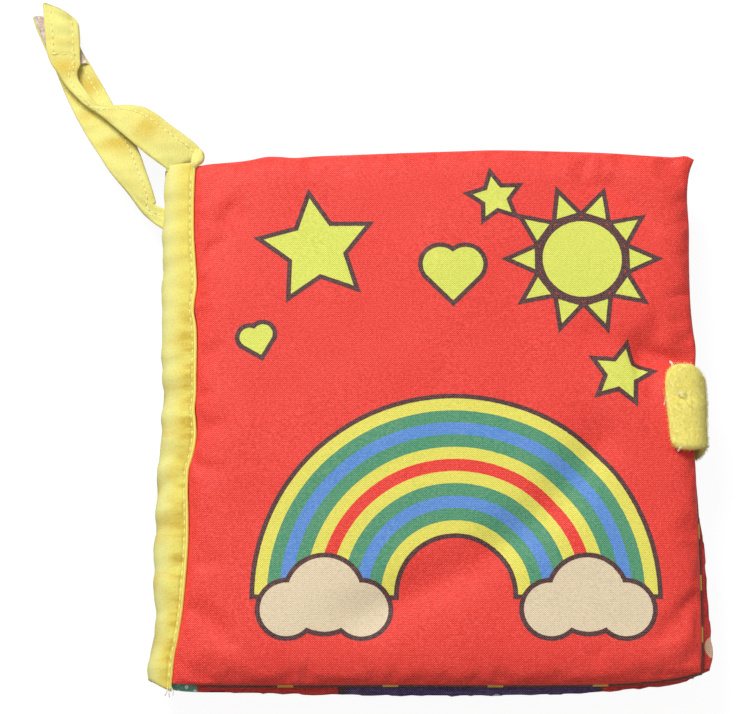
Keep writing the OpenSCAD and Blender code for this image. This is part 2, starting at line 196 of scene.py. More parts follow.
top = Dye("table_top")
rays = top.node("ShaderNodeLightPath", {}, {})
glow = rays.socket.node.outputs
direct = Tone(top, glow["Is Camera Ray"]).math("MAXIMUM", Tone(top, glow["Is Glossy Ray"]))
direct = direct.math("MAXIMUM", Tone(top, glow["Is Transmission Ray"]))
matt = top.node("ShaderNodeBsdfDiffuse", {}, {"Color": (0.12, 0.12, 0.12, 1)})
lit = top.node("ShaderNodeEmission", {}, {"Color": (1, 1, 1, 1), "Strength": direct * 0.93})
table_mesh = bpy.data.meshes.new("table")
table_mesh.from_pydata([(x, y, -0.0002) for x, y in ((-3, -3), (3, -3), (3, 3), (-3, 3))], [], [(0, 1, 2, 3)])
table_mesh.materials.append(top.finish(top.node("ShaderNodeAddShader", {}, {0: matt, 1: lit})))
table = bpy.data.objects.new("table", table_mesh)
scene.collection.objects.link(table)

# Front cover: two squares of woven polyester, the outer one printed, sewn right sides together over a thin pad
# and turned out. The seam is pulled in between its corners and the head corner pokes out past it.
MM = 0.001
COVER_TAIL = [(-68.3, -73.4), (-60, -73.7), (-40, -73.8), (-10, -73.7), (20, -73.8), (45, -73.6), (58, -72.9),
    (66, -71.9), (72.4, -70.4)]
COVER_FORE = [(72.4, -70.4), (73, -62), (73.2, -40), (73.1, -14), (72.5, -5), (73, 5), (73.8, 12), (74.4, 19),
    (73.8, 25), (73.4, 33), (73.5, 45), (73.8, 54), (73.6, 62), (73.9, 67), (74.6, 71), (76, 74.7)]
COVER_HEAD = [(-64.7, 72.6), (-61, 73.3), (-53, 74), (-49, 74.6), (-45, 75.5), (-41, 75.5), (-37, 75.2), (-30, 75.7),
    (-20, 76.1), (-5, 76.7), (10, 77.2), (20, 77.5), (35, 77.2), (50, 76.7), (62, 75.9), (70, 75.4), (73.6, 75.8),
    (76, 74.7)]
LIP = [(-65.2, 74), (-65.4, 68.9), (-65.5, 61.7), (-65.3, 53), (-64.9, 47.5), (-64.3, 40.5), (-64.2, 37), (-64.7, 33),
    (-64.8, 30), (-64.1, 26), (-63.8, 20), (-63.8, 13), (-63.7, 7), (-64, 2.5), (-63.6, -1), (-63.4, -5),
    (-63.8, -8.5), (-64.5, -11.5), (-65.3, -14.5), (-65.4, -20), (-65.1, -27), (-65, -34), (-65.3, -41),
    (-65.7, -47.5), (-66.3, -54), (-67.2, -60.3), (-68, -64.5), (-68.4, -69), (-68.7, -73.5), (-68.9, -77)]


def run_along(points):
    """Length along a line of points, from 0 at its start."""
    return np.concatenate([[0], np.cumsum(np.linalg.norm(np.diff(points, axis=0), axis=1))])


def smooth_line(points, count):
    """count points, evenly spaced, on a smooth line through points."""
    p = np.array(points, float)
    ends = [2 * p[0] - p[1], *p, 2 * p[-1] - p[-2]]
    rows = []
    for a, b, c, d in zip(ends, ends[1:], ends[2:], ends[3:]):
        u = np.linspace(0, 1, 24, endpoint=False)[:, None]
        rows.append(b + 0.5 * ((c - a) * u + (2 * a - 5 * b + 4 * c - d) * u**2 + (3 * b - a - 3 * c + d) * u**3))
    fine = np.vstack([*rows, p[-1:]])
    run = run_along(fine)
    at = np.linspace(0, run[-1], count)
    return np.stack([np.interp(at, run, fine[:, k]) for k in range(fine.shape[1])], 1)


def at_height(line, y):
    """Where a line that runs along the spine stands at the heights y."""
    fine = smooth_line(line, 400)
    order = np.argsort(fine[:, 1])
    return np.interp(y, fine[order, 1], fine[order, 0])


def ripple(places, size, seed):
    """Even noise from -1 to 1 at places, with bumps of about that size."""
    return np.array([noise.noise(Vector(p) / size + Vector((seed, 0.3 * seed, 0.7 * seed))) for p in places])


def mesh_object(name, points, faces, flat, material):
    """A finished piece at the origin, with its cloth's flat place in metres as the UV map cloth."""
    mesh = bpy.data.meshes.new(name)
    mesh.from_pydata([tuple(p) for p in np.asarray(points) * MM], [], faces)
    chart = mesh.uv_layers.new(name="cloth")
    loops = np.zeros(len(mesh.loops), int)
    mesh.loops.foreach_get("vertex_index", loops)
    chart.data.foreach_set("uv", (np.asarray(flat)[loops, :2] * MM).ravel())
    mesh.materials.append(material)
    mesh.polygons.foreach_set("use_smooth", [True] * len(mesh.polygons))
    made = bpy.data.objects.new(name, mesh)
    scene.collection.objects.link(made)
    return made


def closed_sheet(name, upper, lower, material):
    """A closed mesh between two grids of points that share their outer edges."""
    rows, cols = upper.shape[:2]
    number = np.arange(rows * cols).reshape(rows, cols)
    inner = np.zeros((rows, cols), bool)
    inner[1:-1, 1:-1] = True
    below = number.copy()
    below[inner] = rows * cols + np.arange(inner.sum())
    points = np.concatenate([upper.reshape(-1, 3), lower[inner]])
    faces = []
    for grid, order in ((number, (0, 1, 2, 3)), (below, (0, 3, 2, 1))):
        corners = [grid[:-1, :-1], grid[1:, :-1], grid[1:, 1:], grid[:-1, 1:]]
        faces += np.stack([corners[k] for k in order], -1).reshape(-1, 4).tolist()
    return mesh_object(name, points, faces, points, material)


def hang(piece, body, slot, *stands_for):
    """Put a piece on its body, in place of the CAD nodes that it stands for. Its slot is not used."""
    if stands_for:
        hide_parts(*stands_for)
    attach(piece, body)


def steps_in(length, near, pitch):
    """Places from 0 to length: the listed ones at both ends, and even steps between them."""
    middle = np.linspace(near[-1], length - near[-1], max(2, int((length - 2 * near[-1]) / pitch)))
    return np.concatenate([near[:-1], middle, length - np.array(near[:-1])[::-1]]) / length


EDGE_STEPS = [0, 0.08, 0.3, 0.7, 1.3, 2.1, 3.2, 4.6, 6.4, 8.5]


def panel(name, tail, fore, head, spine, surfaces, material, pitch=1.6):
    """A closed padded panel between four edge lines. surfaces(x, y, inward) gives the upper and the lower height,
    which meet at the seam, from the distances to the spine, fore, tail and head edges."""
    us, vs = steps_in(140, EDGE_STEPS, pitch), steps_in(147, EDGE_STEPS, pitch)
    even = np.linspace(0, 1, 400)
    tail, fore, head, spine = [smooth_line(line, 400) for line in (tail, fore, head, spine)]

    def on(line, at):
        return np.stack([np.interp(at, even, line[:, k]) for k in (0, 1)], -1)

    u, v = [g[..., None] for g in np.meshgrid(us, vs, indexing="ij")]
    low, high, left, right = on(tail, us)[:, None], on(head, us)[:, None], on(spine, vs)[None], on(fore, vs)[None]
    plan = (1 - v) * low + v * high + (1 - u) * left + u * right
    plan -= (1 - u) * ((1 - v) * tail[0] + v * head[0]) + u * ((1 - v) * tail[-1] + v * head[-1])
    u, v = u[..., 0], v[..., 0]
    x, y = plan[..., 0], plan[..., 1]
    upper, lower = surfaces(x, y, (u * 140, (1 - u) * 140, v * 147, (1 - v) * 147))
    return closed_sheet(name, np.stack([x, y, upper], -1), np.stack([x, y, lower], -1), material)


def crown(inward, free, spine, power=2.2):
    """Share of a pad's full height, rising from its seam over free at the open edges and over spine at the spine."""
    share = 1
    for distance, reach in zip(inward, (spine, free, free, free)):
        share = share * (1 - (1 - np.clip(distance / reach, 0, 1)) ** power) ** (1 / power)
    return share


def valley(x, y, line, width):
    """How deep a soft fold along line is at x, y, from 0 to 1."""
    reach = np.full(x.shape, 1e9)
    for (ax, ay), (bx, by) in zip(line, line[1:]):
        along = np.clip(((x - ax) * (bx - ax) + (y - ay) * (by - ay)) / ((bx - ax) ** 2 + (by - ay) ** 2), 0, 1)
        reach = np.minimum(reach, np.hypot(x - ax - along * (bx - ax), y - ay - along * (by - ay)))
    return np.exp(-((reach / width) ** 2))


def gathers(x, y, inward, seed):
    """Small puckers square to the seams, which die out into the panel."""
    edge = np.minimum(np.minimum(inward[1], inward[2]), inward[3])
    along = np.where(np.minimum(inward[2], inward[3]) < inward[1], x, y)
    wander = ripple(np.stack([along, edge * 0.3, 0 * edge], -1).reshape(-1, 3), 11, seed).reshape(x.shape)
    wave = np.sin(along / 1.15 + 5 * wander) * (0.45 + wander)
    return wave * np.exp(-edge / 3.2) * (1 - np.exp(-edge / 0.9))


def pad_relief(x, y, seed):
    """Soft unevenness of a thin pad under its cloth."""
    places = np.stack([x, y, 0 * x], -1).reshape(-1, 3)
    return (0.7 * ripple(places, 34, seed) + 0.3 * ripple(places, 13, seed + 7)).reshape(x.shape)


def puff(piece, freedom, cap, limits, pressure=4.0, grow=0.03):
    """Blow a pad up under its cloth in 20 frames of simulation, where freedom of its places in millimetres is 1, and
    keep at most cap millimetres of what moved, between the lowest and highest limits that its neighbours leave."""
    rest = np.zeros(len(piece.data.vertices) * 3)
    piece.data.vertices.foreach_get("co", rest)
    rest = rest.reshape(-1, 3)
    free = freedom(rest / MM)
    seam = piece.vertex_groups.new(name="seam")
    for weight in np.unique(np.round(1 - free, 2)):
        seam.add(np.flatnonzero(np.round(1 - free, 2) == weight).tolist(), float(weight), "REPLACE")
    cloth = piece.modifiers.new("cloth", "CLOTH")
    cloth.settings.quality = 6
    cloth.settings.mass = 0.02
    cloth.settings.vertex_group_mass = "seam"
    cloth.settings.use_pressure = True
    cloth.settings.uniform_pressure_force = pressure
    cloth.settings.shrink_min = -grow
    cloth.settings.effector_weights.gravity = 0
    cloth.collision_settings.use_collision = False
    cloth.point_cache.frame_start, cloth.point_cache.frame_end = 1, 20
    for step in range(1, 21):
        scene.frame_set(step)
    blown = piece.evaluated_get(bpy.context.evaluated_depsgraph_get()).to_mesh()
    moved = np.zeros(rest.size)
    blown.vertices.foreach_get("co", moved)
    shift = (moved.reshape(-1, 3) - rest) * free[:, None]
    length = np.linalg.norm(shift, axis=1)[:, None]
    shift *= np.minimum(1, cap * MM / np.maximum(length, 1e-9))
    piece.modifiers.remove(cloth)
    piece.vertex_groups.remove(seam)
    placed = rest + shift
    placed[:, 2] = np.clip(placed[:, 2], *(np.array(limits) * MM))
    piece.data.vertices.foreach_set("co", placed.ravel())
    piece.data.update()
    scene.frame_set(1)


def front_surfaces(x, y, inward):
    seam, top = 14.75, 18
    height = (top - seam) * (0.85 * crown(inward, 9.5, 14, 1.7) + 0.15 * crown(inward, 4, 3))
    fold = 1.7 * valley(x, y, [(47, -8), (34, -25), (12, -42), (-18, -56)], 6)
    fold += 2.7 * valley(x, y, [(77, 15.6), (68, 15.2), (60, 16.8)], 3.5) + 0.8 * valley(x, y, [(60, 17), (46, 22)], 4.5)
    fold += 0.9 * valley(x, y, [(-66, -1), (-57, -3)], 2.4) + 0.9 * valley(x, y, [(-66, -13), (-58, -16)], 2.8)
    fold = np.minimum(fold + 0.5 * valley(x, y, [(-66, 50), (-57, 45)], 5), 2.7)
    settle = 1 - np.exp(-np.minimum.reduce(inward) / 4)
    upper = seam + height - fold * settle + 0.75 * pad_relief(x, y, 3) * settle + 0.3 * gathers(x, y, inward, 5)
    return upper, seam - 0.33 * (1 - np.exp(-np.minimum.reduce(inward) / 0.5))


def weave(dye, place, pitch, stagger):
    """Height from 0 to 1 of a plain weave with that many millimetres between its ribs, and its uneven threads."""
    x, y, _ = dye.split(place)
    wobble = dye.noise(place, 120, 1.0)
    rib = (y / pitch + wobble * 0.5) * math.tau
    cross = (x / (pitch * stagger) + wobble * 0.3) * math.tau
    brick = rib.math("SINE") * cross.math("SINE")
    height = rib.math("SINE") * 0.08 + brick * 0.42 + 0.5
    return height, dye.noise(place, 2300, 0.0, (0.7, 1, 1))


def cloth_shader(dye, colour, height, roughness=0.5, strength=0.3, sheen=0.04, tint=(1, 0.75, 0.7, 1), gloss=0.2):
    bump = dye.node("ShaderNodeBump", {}, {"Strength": strength, "Distance": 0.0002, "Height": height})
    return dye.node("ShaderNodeBsdfPrincipled", {}, {"Base Color": colour, "Roughness": roughness, "Normal": bump,
        "Sheen Weight": sheen, "Sheen Roughness": 0.4, "Sheen Tint": tint, "Specular IOR Level": gloss})


def woven_finish(dye, place, colour, pitch=0.6, stagger=1.05, contrast=0.75, strength=0.36, speck=(1, 0.46, 0.4, 1)):
    """Dyed or printed polyester: darker between the ribs, which is painted shade in the weave's hollows, with pale
    specks where threads cross on top, partly pale thread and partly a painted highlight on the crowns.
    """
    height, thread = weave(dye, place, pitch, stagger)
    mottle = dye.noise(place, 70, 3.0)
    # Painted shade: the colour is darkened where the weave is low, between the ribs, along with random thread and
    # mottle tone.
    shade = (height - 0.5) * contrast + (thread - 0.5) * contrast * 0.45 + (mottle - 0.5) * 0.1
    rib_shaded = dye.node("ShaderNodeHueSaturation", {}, {"Hue": 0.5, "Saturation": 1.0, "Value": shade + 0.97, "Fac": 1.0,
        "Color": colour})
    # Pale specks: partly pale thread showing through the dye, partly a painted highlight on the crowns of the weave.
    pale = dye.mix((shade * 0.9 + 0.03).math("MAXIMUM", 0.0), rib_shaded, speck)
    return cloth_shader(dye, pale, height + thread * 0.4, strength=strength)


def disc(x, y, centre, radius):
    return ((x - centre[0]) ** 2 + (y - centre[1]) ** 2) ** 0.5 - radius


def turned(x, y, centre, degrees):
    c, s = math.cos(math.radians(degrees)), math.sin(math.radians(degrees))
    x, y = x - centre[0], y - centre[1]
    return x * c + y * s, y * c - x * s


def folded(x, y, tips):
    """Radius and distance from the nearest of so many evenly spaced tips, as a point x, y in its sector."""
    radius = (x**2 + y**2) ** 0.5
    angle = y.math("ARCTAN2", x)
    sector = math.tau / tips
    off = abs((angle / sector + 0.5).math("FRACT") - 0.5) * sector
    return radius * off.math("COSINE"), radius * off.math("SINE")


def star(x, y, centre, radius, degrees):
    x, y = turned(x, y, centre, degrees + 18)
    x, y = folded(x, y, 5)
    dent = (0.5 * radius * math.cos(math.pi / 5), 0.5 * radius * math.sin(math.pi / 5))
    slope = math.hypot(dent[1], radius - dent[0])
    return ((x - radius) * dent[1] + y * (radius - dent[0])) / slope


def sun(x, y, centre, radius):
    core = disc(x, y, centre, radius)
    x, y = turned(x, y, centre, 0)
    x, y = folded(x, y, 10)
    tip, foot, half = 1.78 * radius, 1.2 * radius, 0.27 * radius
    slope = math.hypot(half, tip - foot)
    ray = ((x - tip) * half + y * (tip - foot)) / slope
    return core.math("MINIMUM", ray.math("MAXIMUM", foot - x))


def heart(x, y, centre, width, degrees):
    r = 0.29 * width
    x, y = turned(x, y, centre, degrees + 45)
    square = (abs(x) - r).math("MAXIMUM", abs(y) - r)
    lobes = disc(x, y, (r, 0), r).math("MINIMUM", disc(x, y, (0, r), r))
    return square.math("MINIMUM", lobes)


def nearest(values):
    least = values[0]
    for value in values[1:]:
        least = least.math("MINIMUM", value)
    return least


RED = srgb(245, 54, 42)
LIME = srgb(226, 238, 96)
CREAM = srgb(236, 221, 186)
INK = srgb(58, 40, 45)
YELLOW = srgb(240, 236, 96)
GREEN = srgb(52, 158, 116)
BLUE = srgb(72, 150, 226)
STRIPES = [YELLOW, GREEN, BLUE, GREEN, YELLOW, RED, YELLOW, GREEN, BLUE, GREEN, YELLOW]
OUTLINE, STRIPE, ARCH = 1.3, 3.4, 54
ARCH_MID = (7.2, -50)
COVER_MID = (5.2, 0)


def cover_print(dye, place):
    """The printed field: a striped arch between two clouds under stars, hearts and a sun, all outlined in dark ink."""
    x, y, _ = dye.split(place)
    fray = (dye.noise(place, 1900, 0.0) - 0.5) * 0.16
    x, y = x + fray, y + fray
    mx, my = COVER_MID
    motifs = nearest([star(x, y, (mx - 36, my + 47), 15, 8), star(x, y, (mx + 48, my + 11), 7.5, -12),
        star(x, y, (mx + 14, my + 62), 6.3, 10), heart(x, y, (mx + 2, my + 39), 17, 0),
        heart(x, y, (mx - 52, my + 20), 9.35, 15), sun(x, y, (mx + 38, my + 44), 11)])
    ax, ay = ARCH_MID
    puffs = [(side * 35.3 + dx, -2 + dy, r) for side in (-1, 1) for dx, dy, r in ((0, 2, 10), (-10, -2, 7.2), (10, -2, 7.2))]
    clouds = nearest([disc(x, y, (ax + dx, ay + dy), r) for dx, dy, r in puffs])
    radius = disc(x, y, ARCH_MID, 0)
    count = len(STRIPES)
    inner = ARCH - count * STRIPE
    band = dye.node("ShaderNodeValToRGB", {"stops": [(k / count, STRIPES[count - 1 - k]) for k in range(count)]},
        {0: (radius - inner) / (count * STRIPE)})
    band.socket.node.color_ramp.interpolation = "CONSTANT"
    ringed = (abs(radius - (ARCH + inner) / 2) < (ARCH - inner) / 2 + OUTLINE) * (y > ay - OUTLINE)
    striped = (abs(radius - (ARCH + inner) / 2) < (ARCH - inner) / 2) * (y > ay)
    colour = dye.mix(ringed, RED, INK)
    colour = dye.mix(striped, colour, band)
    for shape, fill in ((clouds, CREAM), (motifs, LIME)):
        colour = dye.mix(shape < OUTLINE, colour, INK)
        colour = dye.mix(shape < 0.0, colour, fill)
    return colour


cover_dye = Dye("printed_cover_cloth")
cover_place = cover_dye.node("ShaderNodeTexCoord", {}, {}, 3)
cover_cloth = cover_dye.finish(woven_finish(cover_dye, cover_place, cover_print(cover_dye, cover_place)))
heights = np.linspace(-73.4, 72.6, 60)
cover_spine = np.stack([at_height(LIP, heights) + 0.1, heights], 1)
front_cover = panel("front_cover_padded", COVER_TAIL, COVER_FORE, COVER_HEAD, cover_spine, front_surfaces,
    cover_cloth, 1.3)
puff(front_cover, lambda at: np.clip((at[:, 2] - 15.1) / 1.2, 0, 1), 0.7, (14, 20))
hang(front_cover, "front", "cover_cloth", "front_cover", "cover_print_dark", "cover_print_lime", "cover_print_cream",
    "cover_print_yellow", "cover_print_green", "cover_print_blue")

# Lining of the front cover: dark olive polyester with yellow dots. It is turned with the cover and rolls out past
# the seam, so that a line of it shows along the tail and the lower fore edge.
OLIVE = srgb(74, 56, 42)
DOT = srgb(214, 182, 72)


def dotted(dye, place, pitch, radius, shift):
    x, y, _ = dye.split(place)
    across = ((x + shift[0]) / pitch + 0.5).math("FLOOR")
    off = (across * 0.5).math("FRACT")
    dx = ((x + shift[0]) / pitch + 0.5).math("FRACT") - 0.5
    dy = ((y + shift[1]) / pitch + off + 0.5).math("FRACT") - 0.5
    return ((dx**2 + dy**2) ** 0.5 * pitch) < radius


lining_dye = Dye("dotted_lining")
lining_place = lining_dye.node("ShaderNodeTexCoord", {}, {}, 3)
lining_colour = lining_dye.mix(dotted(lining_dye, lining_place, 14, 2.1, (10.4, 4.2)), OLIVE, DOT)
lining_cloth = lining_dye.finish(woven_finish(lining_dye, lining_place, lining_colour))


def lining_surfaces(x, y, inward):
    edge = np.minimum.reduce(inward)
    rolled = np.exp(-((edge - 0.7) ** 2) / 0.5)
    return 14.22 + 0.16 * (1 - np.exp(-edge / 0.3)) + 0.35 * rolled, 14.22 - 0.2 * (1 - np.exp(-edge / 0.4))


LINING_TAIL = [(x, y + (1.4, -0.35, -0.5)[min(i, 2)]) for i, (x, y) in enumerate(COVER_TAIL[:-1])] + [(72.8, -71)]
LINING_FORE = [(72.8, -71), (73.5, -62), (73.7, -40), (73.5, -25), (72.9, -14), (72.2, 0), (72.8, 20), (72.6, 50),
    (73, 73)]
LINING_HEAD = [(-65.2, 71.6), (-45, 74), (20, 76), (60, 74.6), (73, 73)]
lining_rows = np.linspace(-72, 71.6, 40)
lining_spine = np.stack([at_height(LIP, lining_rows) + 0.1, lining_rows], 1)
lining = panel("front_lining", LINING_TAIL, LINING_FORE, LINING_HEAD, lining_spine, lining_surfaces,
    lining_cloth, 3)
hang(lining, "front", "lining_cloth", "front_cover_lining")

# Back cover: the same padded panel turned over. It lies flat on the table, with plain red cloth outside and the
# dotted lining inside.


def back_surfaces(x, y, inward):
    seam = 2.9
    share = crown(inward, 8.5, 14)
    relief = 0.15 * gathers(x, y, inward, 9)
    lower = np.maximum(seam * (1 - 1.12 * share), 0) + relief * (share < 0.8)
    return seam + 1.05 * crown(inward, 2.6, 3), np.maximum(lower, 0)


plain_dye = Dye("plain_cover_cloth")
plain_place = plain_dye.node("ShaderNodeTexCoord", {}, {}, 3)
plain_cloth = plain_dye.finish(woven_finish(plain_dye, plain_place, RED))
BACK_TAIL = [(-68.4, -73.2), (-30, -74), (30, -74), (72.2, -70.6)]
BACK_FORE = [(72.2, -70.6), (72.4, -30), (72.2, 0), (72.8, 40), (73.8, 74.2)]
BACK_HEAD = [(-64.7, 72.8), (-20, 75.6), (30, 76), (73.8, 74.2)]
back_cover = panel("back_cover_padded", BACK_TAIL, BACK_FORE, BACK_HEAD, cover_spine, back_surfaces, plain_cloth, 2)
back_cover.data.materials.append(lining_cloth)
half = len(back_cover.data.polygons) // 2
back_cover.data.polygons.foreach_set("material_index", [1] * half + [0] * half)
puff(back_cover, lambda at: np.clip((2.6 - at[:, 2]) / 0.6, 0, 1), 0.8, (0, 3.96))
hang(back_cover, "back", "cover_cloth", "back_cover")

# Leaves: three padded leaves of printed cloth, rounded at their seams and gathered into the spine. The first one
# pokes out past the cover at the tail and at the lower fore corner.
OUTER = [(-74.5, 73.7), (-74.6, 68), (-74.7, 60), (-74.7, 53), (-74.4, 46), (-74.3, 41), (-74.9, 38), (-74.7, 32),
    (-74.5, 25), (-74.2, 19), (-73.9, 14), (-73.5, 9), (-73.4, 5), (-73.8, 0), (-73.5, -4), (-73.5, -8), (-74.4, -12),
    (-74.9, -15), (-74.5, -20), (-74.4, -24), (-74.5, -30), (-74.6, -35), (-74.9, -38), (-74.7, -44), (-74.5, -50),
    (-74, -55), (-73.9, -59), (-74.4, -63), (-75, -66.5), (-75.4, -70), (-75.4, -74), (-75, -78)]
NAVY = srgb(34, 42, 100)
TEAL = srgb(70, 160, 136)


def leaf_print(dye, place):
    """A red field over a navy band with white dots, a green bank by the spine and a pale moon at the fore edge."""
    x, y, _ = dye.split(place)
    dots = dotted(dye, place, 21, 1.6, (3, 4))
    band = ((y + 57) < 0.0) * (abs(x - 11.5) < 33.5)
    edge = ((y + 55.6) < 0.0) * (abs(x - 11) < 35.4)
    bank = disc(x, y, (-68, -76), 6.2) < 0.0
    moon = disc(x, y, (77, -63.4), 3.1).math("MINIMUM", disc(x, y, (77.3, -69.8), 1.8)) < 0.0
    colour = dye.mix(edge, srgb(205, 34, 30), INK)
    colour = dye.mix(band, colour, NAVY)
    colour = dye.mix(band * dots, colour, srgb(196, 200, 206))
    colour = dye.mix(bank, colour, TEAL)
    colour = dye.mix(bank * dotted(dye, place, 2.2, 0.5, (1, 0.4)), colour, srgb(232, 236, 230))
    return dye.mix(moon, colour, srgb(218, 180, 146))


leaf_dye = Dye("printed_leaf_cloth")
leaf_place = leaf_dye.node("ShaderNodeTexCoord", {}, {}, 3)
leaf_cloth = leaf_dye.finish(woven_finish(leaf_dye, leaf_place, leaf_print(leaf_dye, leaf_place)))
LEAF_TAIL = [(-73, -70.4), (-70.8, -72), (-69.2, -74.5), (-63, -75.3), (-53, -75.4), (-30, -75.8), (3, -76.2),
    (30, -75.9), (43, -75.4), (59, -73.9), (68, -72.4), (75.2, -69.6)]
LEAF_FORE = [(75.2, -69.6), (75.9, -66), (75.7, -58), (75.3, -48), (74.9, -38), (74.2, -30), (73.4, -24), (72.7, -10),
    (72.4, 10), (72.3, 40), (72.6, 72.6)]
LEAF_HEAD = [(-70.5, 71.6), (-30, 74), (20, 75), (72.6, 72.6)]


def leaf_surfaces(floor, seed):
    def surfaces(x, y, inward):
        share = crown(inward, 2.6, 5)
        relief = 0.12 * gathers(x, y, inward, seed)
        return floor + 1.6 + (1.58 + relief) * share, floor + 1.6 - (1.56 + relief) * share
    return surfaces


def leaf_freedom(seam):
    """The simulation moves a leaf's faces only near its open edges, off the seam and clear of the spine."""
    def freedom(at):
        rim = np.minimum(np.minimum(73 - at[:, 0], at[:, 1] + 74), 73 - at[:, 1])
        return np.clip(1 - rim / 14, 0, 1) * np.clip(np.abs(at[:, 2] - seam) / 0.5, 0, 1) * (at[:, 0] > -60)
    return freedom


LEAF_PITCH, LEAF_TOP = 3.2, 10.5
for k, (name, slide) in enumerate((("leaf_first", (0, 0)), ("leaf_second", (-1.6, 1.6)), ("leaf_third", (-2.2, 2)))):
    floor = LEAF_TOP - LEAF_PITCH * k
    shift = np.array(slide)
    rows = np.linspace(-73.4, 71.6, 30)
    room = at_height(LIP, rows) - at_height(OUTER, rows) - 1.7
    spine_in = np.stack([at_height(LIP, rows) - room * (0.76, 0.88, 0.76)[k], rows], 1)
    tail = np.array(LEAF_TAIL) + shift
    head = np.array(LEAF_HEAD) + shift
    tail[0, 0] = spine_in[0][0]
    head[0, 0] = spine_in[-1][0]
    spine_in[0, 1], spine_in[-1, 1] = tail[0, 1], head[0, 1]
    leaf = panel(name, tail, np.array(LEAF_FORE) + shift, head, spine_in, leaf_surfaces(floor, 11 + k),
        leaf_cloth, 2.4)
    puff(leaf, leaf_freedom(floor + 1.6), 0.6, (floor + 0.04, floor + 3.16))
    hang(leaf, "book_block", "page_cloth", *["pages"][k:])

# Spine binding: woven yellow tape folded round the spine of the block, with a hem along both lips. It is puckered
# by its stitching, and its lower end is cut on a slant and left to fray.
TAPE_MID, TAPE_HIGH, TAPE_CURVE, TAPE_THICK = 9, 6.2, 2.2, 0.9
TAPE_WRAP = 27.6
TAPE_ANGLES = np.radians([0, 0.8, 1.8, 3, 4, 5, 6, 7, 8, 9.2, 10.6, 12.5, 16, 21, 27, 34, 42, 51, 60, 70, 80])


def tape_surface(lip, outer, angle, inset):
    """Points on the folded tape's section, at inset inside its outer face."""
    width, high = lip - outer - inset, TAPE_HIGH - inset
    x = lip - width * np.sin(angle) ** (2 / TAPE_CURVE)
    return x, TAPE_MID + high * np.sign(np.cos(angle)) * np.abs(np.cos(angle)) ** (2 / TAPE_CURVE)


def sleeve(rings):
    """Faces between rings of point numbers, each ring joined to the next."""
    n = len(rings[0])
    return [(one[i], one[(i + 1) % n], two[(i + 1) % n], two[i]) for one, two in zip(rings, rings[1:]) for i in range(n)]


def build_tape():
    down = np.linspace(0, 1, 190)
    angles = np.concatenate([TAPE_ANGLES, [math.pi / 2], (math.pi - TAPE_ANGLES)[::-1]])
    rows = []
    for t in down:
        y = 73.7 - 147.4 * t
        lip, outer = at_height(LIP, y), at_height(OUTER, y)
        ring = []
        for inset, line in ((0, angles), (TAPE_THICK, angles[::-1])):
            x, z = tape_surface(lip, outer, line, inset)
            from_lip = lip - x
            end = -75.4 + 3.6 * np.clip(from_lip / (lip - outer), 0, 1) ** 1.2 + 1.6 * (z < TAPE_MID)
            along = 73.7 + (end - 73.7) * t
            if inset == 0:
                out = np.stack([x - (lip + 1), (z - TAPE_MID) * 1.4], 1)
                out /= np.linalg.norm(out, axis=1)[:, None]
                places = np.stack([along * 1.9, from_lip * 0.5, np.sign(z - TAPE_MID) * 20 + z * 0], 1)
                swell = 0.65 * ripple(places, 9, 2) * np.clip((from_lip - 0.8) / 1.6, 0, 1)
                hem = 0.5 * np.exp(-(((from_lip - 0.5) / 0.42) ** 2)) - 0.38 * np.exp(-(((from_lip - 1.3) / 0.3) ** 2))
                face = np.abs(z - TAPE_MID) > 3
                x = x + out[:, 0] * swell
                z = z + out[:, 1] * swell + np.where(face, np.sign(z - TAPE_MID) * hem, 0)
            ring.append(np.stack([x, along, z], 1))
        rows.append(np.vstack(ring))
    points = np.vstack(rows)
    n = len(rows[0])
    faces = sleeve(np.arange(len(points)).reshape(-1, n).tolist())
    last = (len(down) - 1) * n
    for i in range(n // 2 - 1):
        faces.append((i + 1, i, n - 1 - i, n - 2 - i))
        faces.append((last + i, last + i + 1, last + n - 2 - i, last + n - 1 - i))
    run = run_along(rows[60][:n // 2])
    run = np.concatenate([run, run[::-1]])
    flat = np.stack([np.tile(run, len(down)), points[:, 1]], 1)
    return points, faces, flat


